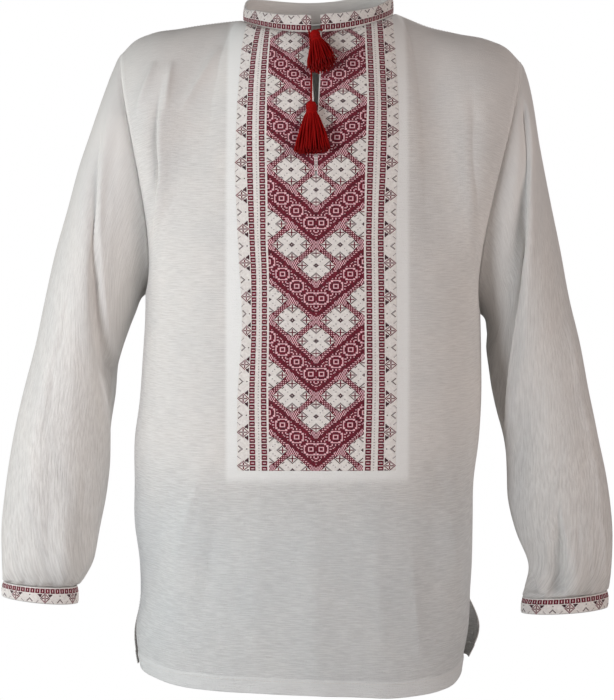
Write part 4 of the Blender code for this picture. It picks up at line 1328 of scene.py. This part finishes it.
def cotton_finish(name, surface, colours, patches, plies, distance):
    """Cotton plies laid slantwise, patchy in colour where single threads catch the light.

    surface is for the shader and colours for the ramp. patches says whether they lie on the object
    or along the thread, their stretch, scale and detail, and plies the scale and waver of the lay.
    """
    made = bpy.data.materials.get(name)
    if made:
        return made
    made, tree = new_material(name, *surface)
    uv = add_node(tree, "UVMap", {"uv_map": "cloth"})
    on_object, stretch, scale, detail = patches
    source = add_node(tree, "TexCoord", output="Object") if on_object else uv
    base = colour_ramp(tree, noise(tree, source, stretch, scale=scale, detail=detail), *colours)
    lay = {"bands_direction": "DIAGONAL", "Scale": plies[0], "Distortion": plies[1], "Vector": uv}
    colour_and_relief(tree, base, add_node(tree, "TexWave", lay), 0.5, distance)
    return made


def thread_finish(name, dark, light, roughness=0.6):
    """Stranded cotton thread: two lays of fine plies that cross, with a soft silky glint."""
    looks = bpy.context.scene.shirt_looks
    colours = (0.3, getattr(looks, dark), 0.7, getattr(looks, light))
    patches = (True, (1, 1, 1), 420.0, 2.0)
    return cotton_finish(name, (roughness, 0.25, 0.4, 0.35), colours, patches, (1.3, 0.6), 0.0002)


def tassel_cotton():
    """Twisted dark red cotton, matt, a little brighter where single threads catch the light."""
    looks = bpy.context.scene.shirt_looks
    colours = (0.32, looks.tassel_dark, 0.72, looks.tassel)
    patches = (False, (7.0, 2.0, 1.0), 6.0, 3.0)
    surface = (0.8, 0.02, 0.5, 0.1)
    return cotton_finish("twisted red cotton", surface, colours, patches, (3.0, 0.4), 0.0003)


def body_linen(halo=False):
    """Cloth of the body and bands: slubs across, stronger below the stitching, faint on the shoulders.

    halo is for the front, which is whiter where its stitching is backed.
    """
    name = "washed linen, backed front" if halo else "washed linen, body"
    fades = ((-490, -570, 1.0, 2.0), (-170, -60, 1.0, 0.45))
    return linen(name, (60, 900, 1), (300, 24, 1), (0.7, 0.25, 0.5), fades, halo)


def sleeve_linen():
    """Cloth of the sleeves: lengthwise crinkles that grow from the shoulder to the cuff."""
    fades = ((-120, -330, 0.12, 0.9), (-400, -600, 1.0, 1.35))
    name = "washed linen, crinkled sleeve"
    return linen(name, (420, 80, 1), (380, 42, 1), (0.6, 1.35, 0.3), fades)


# ---------------------------------------------------------------- sewing, cord and tassels


def running_stitches(line, facing, pitch, length, width):
    """Vertices and faces of small pointed stitches along a line of points."""
    at = distances(line)
    vertices, faces = [], []
    for middle in np.arange(pitch, at[-1] - pitch / 2, pitch):
        first, last = read_line(line, at, [middle - length / 2, middle + length / 2])
        up = unit(read_line(facing, at, middle))
        across = unit(np.cross(last - first, up)) * width / 2
        centre = (first + last) / 2
        start = len(vertices)
        vertices += [first, centre + across, last, centre - across, centre + up * width * 0.8]
        faces += [[start + a, start + (a + 1) % 4, start + 4] for a in range(4)]
    return vertices, faces


def twisted_tube(route, radius, sides=12):
    """A two-ply twisted cord along a route, as vertices, faces and UV pairs, and its line."""
    route = np.array(route, float)
    at = distances(route)
    count = max(8, int(at[-1] / 0.8))
    length = np.linspace(0, at[-1], count + 1)
    points = smooth_curve(at, route)(length)
    runs = unit(np.gradient(points, axis=0))
    across = unit(np.cross(runs, [0.0, -1.0, 0.02]))
    ahead = np.cross(runs, across)
    turn = 2 * math.pi * np.arange(sides) / sides
    ply = np.abs(np.sin(turn - length[:, None] * CORD_TWIST * 2 * math.pi))
    spokes = across[:, None] * np.cos(turn)[:, None] + ahead[:, None] * np.sin(turn)[:, None]
    vertices = points[:, None] + spokes * (radius * (0.78 + 0.26 * ply))[..., None]
    faces, uvs = tube_faces(0, count + 1, sides, lambda row, side: (side / sides, length[row] / 4))
    ends = [list(range(sides)), list(range(count * sides, (count + 1) * sides))[::-1]]
    return vertices.reshape(-1, 3), faces + ends, uvs + [(0.5, 0.5)] * 2 * sides, points


def tassel_strands(length, skirt, count):
    """Fine threads hung in an oval, wavy and uneven, as vertices, faces and UV pairs."""
    width, depth, skew, rounding = skirt
    vertices, faces, uvs = [], [], []
    sides, rings = 4, 9
    share = np.linspace(0, 1, rings)
    spread = share**0.7
    for i in range(count):
        out = math.sqrt((i + 0.5) / count)
        turn = i * GOLDEN_ANGLE
        side, forward = out * math.cos(turn), out * math.sin(turn)
        uneven = math.sin(i * 12.9898) * 0.5 + math.sin(i * 4.1414) * 0.5
        reach = length * (1 - rounding * out**3 + skew * side + 0.022 * uneven)
        x = side * (BUNDLE * (1 - spread) + 0.48 * width * spread)
        y = forward * (BUNDLE * (1 - spread) + 0.46 * depth * spread)
        x += 0.7 * np.sin(5 * share + i * 1.7) * share
        y += 0.6 * np.cos(6 * share + i * 2.3) * share
        down = STRAND_TOP + (reach - STRAND_TOP) * share
        radius = 0.95 - 0.15 * share
        start = len(vertices)
        for r in range(rings):
            for k in range(sides):
                spin = turn + 2 * math.pi * k / sides + 2.4 * share[r]
                spoke = (radius[r] * math.cos(spin), radius[r] * math.sin(spin))
                vertices.append((x[r] + spoke[0], y[r] + spoke[1], -down[r]))
        tube = tube_faces(start, rings, sides, lambda row, spot: (i * 0.37 + spot / sides * 0.2, row * 0.5))
        faces += tube[0] + [list(range(len(vertices) - sides, len(vertices)))]
        uvs += tube[1] + [(i * 0.37, 0.5)] * sides
    return vertices, faces, uvs


def head_radius(down):
    """Half width of a tassel's head, that far down it."""
    return float(np.interp(down, *zip(*HEAD_PROFILE)))


def tassel(name, node, ends, skirt, loop):
    """A tassel: a wound head modelled upright, its strands, its loop and its turn into place."""
    finish = tassel_cotton()
    top, tip = ends
    length = float(np.linalg.norm(tip - top))
    deselect()
    bpy.ops.mesh.primitive_uv_sphere_add(segments=28, ring_count=18, radius=1.0, location=(0, 0, 0))
    head = bpy.context.active_object
    head.name = name
    for vertex in head.data.vertices:
        down = (1 - vertex.co.z) / 2 * HEAD_HEIGHT
        ring = math.hypot(vertex.co.x, vertex.co.y)
        rib = 1 + 0.035 * math.sin(14 * math.atan2(vertex.co.y, vertex.co.x) + 0.5 * down)
        across = head_radius(down) * rib / ring if ring > 1e-4 else 0.0
        vertex.co = (vertex.co.x * across * MM, vertex.co.y * across * MM, -down * MM)
    pieces = [head]
    for step, down in enumerate(WINDINGS):
        deselect()
        bpy.ops.mesh.primitive_torus_add(
            major_segments=32,
            minor_segments=8,
            major_radius=(head_radius(down) + 0.25) * MM,
            minor_radius=0.62 * MM,
            location=(0, 0, -down * MM),
            rotation=(math.radians(4 - 2 * step), math.radians(3 * (step % 2)), 0),
        )
        pieces.append(bpy.context.active_object)
    for piece in pieces:
        piece.data.materials.append(finish)
        piece.data.uv_layers[0].name = "cloth"
        piece.data.shade_smooth()
    for loop_uv in head.data.uv_layers["cloth"].data:
        loop_uv.uv = (loop_uv.uv[0] * 3, loop_uv.uv[1])
    count = bpy.context.scene.shirt_sizes.strands
    join([*pieces, mesh_object(name + "_strands", *tassel_strands(length, skirt, count), [finish])])
    axis = (tip - top) / length
    across = unit(np.array([1.0, 0.0, 0.0]) - axis * axis[0])
    turn = np.column_stack([across, np.cross(across, axis), -axis, top * MM])
    head.data.transform(Matrix([*turn.tolist(), [0, 0, 0, 1]]) @ head.matrix_world)
    head.matrix_world = Matrix.Identity(4)
    if loop:
        cord = twisted_tube([*loop, top + axis * 1.0], CORD_DIAMETER / 2)[:3]
        join([head, mesh_object(name + "_cord", *cord, [finish])])
    fasten(head, node)
    return head


# ---------------------------------------------------------------- add-on


class ShirtSizes(bpy.types.PropertyGroup):
    """Sizes of the shirt's cloth and stitches."""

    cloth: bpy.props.FloatProperty(
        name="Cloth", description="Thickness of one layer, in mm", default=1.1, min=0.3, max=3
    )
    band: bpy.props.FloatProperty(
        name="Band", description="Thickness of the collar and cuffs, in mm", default=2.2, min=1, max=4
    )
    stitch_height: bpy.props.FloatProperty(
        name="Stitch height", description="Rise of a cross stitch, in mm", default=0.38, min=0, max=1
    )
    strands: bpy.props.IntProperty(
        name="Strands", description="Threads in each tassel", default=120, min=20, max=125
    )
    seam_stitch: bpy.props.FloatProperty(
        name="Seam stitch", description="Length of a sewing stitch, in mm", default=2.4, min=1, max=5
    )


class ShirtLooks(bpy.types.PropertyGroup):
    """Colours of the cloth and threads, as sRGB hex values."""

    __annotations__ = {
        key: bpy.props.StringProperty(name=name, description=description, default=default)
        for key, (name, description, default) in COLOURS.items()
    }


class SHIRT_OT_body(bpy.types.Operator):
    """Cuts and hangs the front and back."""

    bl_idname = "shirt.body"
    bl_label = "Front and back"

    def execute(self, context):
        front, back = panel_points(-1), panel_points(1)
        size = context.scene.shirt_sizes.cloth
        seam = over_seam(front, front[:, :1], front[:, -1:])
        seam[:BODY_ROWS] = over_hem(front)[:BODY_ROWS]
        linen_front = ("linen_front", "body_front", "embroidered_linen")
        cloth_object(*linen_front, front, body_linen(halo=True), size, seam, slit=True)
        cloth_object("linen_back", "body_back", "linen", back, body_linen(), size, flip=True)
        return {"FINISHED"}


class SHIRT_OT_sleeves(bpy.types.Operator):
    """Cuts and hangs the two sleeves."""

    bl_idname = "shirt.sleeves"
    bl_label = "Sleeves"

    def execute(self, context):
        size = context.scene.shirt_sizes.cloth
        for side, hand in HANDS.items():
            points = sleeve_points(hand)
            names = ("linen_sleeve_" + side, "sleeve_" + side, "linen")
            seam = over_seam(points, points[:1])
            cloth_object(*names, points, sleeve_linen(), size, seam, is_round=True, flip=hand < 0)
        return {"FINISHED"}


class SHIRT_OT_bands(bpy.types.Operator):
    """Makes the standing collar and the cuffs."""

    bl_idname = "shirt.bands"
    bl_label = "Collar and cuffs"

    def execute(self, context):
        size = context.scene.shirt_sizes.band
        names = ("linen_collar", "collar", "embroidered_band")
        cloth_object(*names, collar_points(), body_linen(), size, flip=True)
        for side, hand in HANDS.items():
            names = ("linen_cuff_" + side, "cuff_" + side, "embroidered_band")
            cloth_object(*names, cuff_points(hand), body_linen(), size, is_round=True, flip=hand < 0)
        return {"FINISHED"}


class SHIRT_OT_embroidery(bpy.types.Operator):
    """Works the cross stitch of the front, collar and cuffs."""

    bl_idname = "shirt.embroidery"
    bl_label = "Cross stitch"

    def execute(self, context):
        threads, grid = chart_front(), front_grid()
        for name, wanted, spread in (
            # The white stitches carry the grey cells of painted gap shade too
            ("white", {WHITE, PAINTED_SHADE}, 1.0),
            ("maroon", {PINK, MAROON}, 1.2),
            ("black", {BLACK}, 1.2),
        ):
            name = "front_stitches_" + name
            stitch_object(name, grid, threads, wanted, spread=spread)
        points = collar_points()
        cells = round(distances(points, 1)[:, -1].mean() / COLLAR_STITCH)
        along = np.minimum(np.arange(cells), cells - 1 - np.arange(cells))
        work_band("collar_stitches", strip_grid(points, cells, 0.06, 0.95), along, -1)
        for side, hand in HANDS.items():
            cells = CUFF_REPEATS * STRIP_REPEAT
            along = (np.arange(cells) + CUFF_START[hand]) % STRIP_REPEAT
            grid = strip_grid(cuff_points(hand), cells, 0.04, 0.96, is_round=True)
            work_band("cuff_stitches_" + side, grid, along, hand)
        return {"FINISHED"}


class SHIRT_OT_sewing(bpy.types.Operator):
    """Sews the hem, side slits, armholes and shoulders, and binds the neck slit."""

    bl_idname = "shirt.sewing"
    bl_label = "Sewing"

    def execute(self, context):
        length = context.scene.shirt_sizes.seam_stitch
        vertices, faces = [], []
        for side in (-1, 1):
            points = panel_points(side)
            facing = normals_of(points, False) * -side
            slit = slice(HEM_ROW, int((points[:, 0, 2] < SLIT_TOP_Z + 6).sum()))
            arm = slice(BODY_ROWS, len(points) - 2)
            places = [(HEM_ROW, slice(INSET, -INSET)), (slit, INSET), (slit, -INSET - 1), (arm, 2), (arm, -3)]
            if side < 0:
                places += [(-4, slice(2, SHOULDER_COLUMNS)), (-4, slice(-SHOULDER_COLUMNS, -2))]
            for place in places:
                up = facing[place]
                found, made = running_stitches(points[place] + up * 0.1, up, length * 1.45, length, 0.75)
                faces += [[index + len(vertices) for index in face] for face in made]
                vertices += found
        uvs = [(0, 0), (1, 0), (0.5, 1)] * len(faces)
        finish = thread_finish("white sewing cotton", "white_dark", "linen", roughness=0.7)
        fasten(mesh_object("sewing_thread", vertices, faces, uvs, [finish]))
        self.bind_slit()
        return {"FINISHED"}

    def bind_slit(self):
        """A narrow turned edge down both sides of the neck slit."""
        points = panel_points(-1)
        middle = points.shape[1] // 2 - 1
        facing = normals_of(points, False)
        rows = points[:, middle, 2] > NECK_SLIT_BOTTOM_Z - 2
        sides = 8
        turn = 2 * math.pi * np.arange(sides) / sides
        vertices, faces, uvs = [], [], []
        for hand in (-1, 1):
            column = middle + (hand > 0)
            line, up = points[rows, column], facing[rows, column]
            start = len(vertices)
            ring = up[:, None] * (np.cos(turn) * 0.9 - 0.3)[:, None] + line[:, None]
            ring[..., 0] += hand * (0.7 + 0.9 * np.sin(turn))
            vertices += ring.reshape(-1, 3).tolist()
            for i in range(len(line) - 1):
                for k in range(sides):
                    a, b = start + i * sides + k, start + i * sides + (k + 1) % sides
                    faces.append([a, b, b + sides, a + sides][::-hand])
                    uvs += [(0.001 * k, 0.006 * i)] * 4
        fasten(mesh_object("slit_binding", vertices, faces, uvs, [body_linen()]))


class SHIRT_OT_tassels(bpy.types.Operator):
    """Hangs the tie cord and its two tassels."""

    bl_idname = "shirt.tassels"
    bl_label = "Cord and tassels"

    def execute(self, context):
        place = places_on_front()
        upper, lower, loop, route = (
            [place(*spot) for spot in table] for table in (UPPER_TASSEL, LOWER_TASSEL, UPPER_LOOP, TIE_CORD)
        )
        tassel("red_tassel_upper", "tassel_upper", upper, UPPER_SKIRT, loop)
        low = tassel("red_tassel_lower", "tassel_lower", lower, LOWER_SKIRT, [])
        axis = unit(lower[1] - lower[0])
        route += [lower[0] - axis * 4, lower[0] + axis * 9]
        *tube, line = twisted_tube(route, CORD_DIAMETER / 2)
        cord = mesh_object("red_tie_cord", *tube, [tassel_cotton()])
        fasten(cord, "tie_cord")
        float(distances(line)[-1]) * MM
        return {"FINISHED"}


class SHIRT_OT_declare(bpy.types.Operator):
    """Looks up the stitched pieces, and does nothing further with them."""

    bl_idname = "shirt.declare"
    bl_label = "Flat cuts"

    def execute(self, context):
        things = bpy.data.objects
        stitched = [things["front_stitches_" + name] for name in ("white", "maroon", "black")]
        stitched += [things["sewing_thread"], things["slit_binding"]]
        for side in HANDS:
            stitched = [things["cuff_stitches_" + side + ending] for ending in ("", "_dark")]
        stitched = [things["collar_stitches"], things["collar_stitches_dark"]]
        return {"FINISHED"}


class SHIRT_OT_stage(bpy.types.Operator):
    """Sets the floor, soft light and camera."""

    bl_idname = "shirt.stage"
    bl_label = "Stage"

    def execute(self, context):
        scene = context.scene
        deselect()
        bpy.ops.mesh.primitive_plane_add(size=2.4, location=(0, 0.1, -1.45))
        floor = context.active_object
        floor.name = "floor"
        paint, tree = new_material("pale painted floor", 0.9)
        tree.nodes["Principled BSDF"].inputs["Base Color"].default_value = colour("#e9e9e8")
        floor.data.materials.append(paint)
        scene.view_settings.view_transform = "Standard"
        scene.world = bpy.data.worlds.new("studio")
        scene.world.use_nodes = True
        tree = scene.world.node_tree
        tree.nodes.clear()
        fill = add_node(tree, "Background", {"Color": colour("#f5f3f4"), "Strength": 0.06})
        plain = add_node(tree, "Background", {"Color": (1, 1, 1, 1), "Strength": 1.0})
        seen = add_node(tree, "LightPath", output="Is Camera Ray")
        mixed = add_node(tree, "MixShader", {0: seen, 1: fill, 2: plain})
        add_node(tree, "OutputWorld", {"Surface": mixed})
        for name, place, size, power, tint in LIGHTS:
            light = bpy.data.lights.new(name, "AREA")
            settle(light, shape="DISK", size=size, energy=power, color=colour(tint)[:3])
            aim = Vector((0, 0, -0.38)) - Vector(place)
            self.hang(scene, name, light, place, aim.to_track_quat("-Z", "Y").to_euler())
        lens = bpy.data.cameras.new("camera")
        settle(lens, sensor_fit="VERTICAL", sensor_height=36.0, lens=82.8, clip_start=0.05)
        level = (math.radians(90), 0, 0)
        scene.camera = self.hang(scene, "camera", lens, (-0.010, -1.9, -0.389), level)
        return {"FINISHED"}

    def hang(self, scene, name, data, place, turn):
        """Puts a light or the camera in its place."""
        made = settle(bpy.data.objects.new(name, data), location=place, rotation_euler=turn)
        scene.collection.objects.link(made)
        return made


class SHIRT_PT_panel(bpy.types.Panel):
    """Lists the sizes, colours and steps."""

    bl_idname = "SHIRT_PT_panel"
    bl_label = "Shirt"
    bl_space_type = "VIEW_3D"
    bl_region_type = "UI"
    bl_category = "Shirt"

    def draw(self, context):
        for group in (context.scene.shirt_sizes, context.scene.shirt_looks):
            box = self.layout.box()
            for name in group.__annotations__:
                box.prop(group, name)
        for step in STEPS:
            self.layout.operator(step.bl_idname)


STEPS = (
    SHIRT_OT_stage,
    SHIRT_OT_body,
    SHIRT_OT_sleeves,
    SHIRT_OT_bands,
    SHIRT_OT_embroidery,
    SHIRT_OT_sewing,
    SHIRT_OT_tassels,
    SHIRT_OT_declare,
)
CLASSES = (ShirtSizes, ShirtLooks, *STEPS, SHIRT_PT_panel)


def register():
    """Adds the shirt's settings, steps and panel to Blender."""
    for made in CLASSES:
        bpy.utils.register_class(made)
    bpy.types.Scene.shirt_sizes = bpy.props.PointerProperty(type=ShirtSizes)
    bpy.types.Scene.shirt_looks = bpy.props.PointerProperty(type=ShirtLooks)


def unregister():
    """Takes them away again."""
    del bpy.types.Scene.shirt_looks
    del bpy.types.Scene.shirt_sizes
    for made in reversed(CLASSES):
        bpy.utils.unregister_class(made)


def main():
    """Makes the shirt step by step."""
    register()
    for step in STEPS:
        name = step.bl_idname.split(".")[1]
        if getattr(bpy.ops.shirt, name)() != {"FINISHED"}:
            raise RuntimeError(f"{name} didn't finish")


if __name__ == "__main__":
    main()
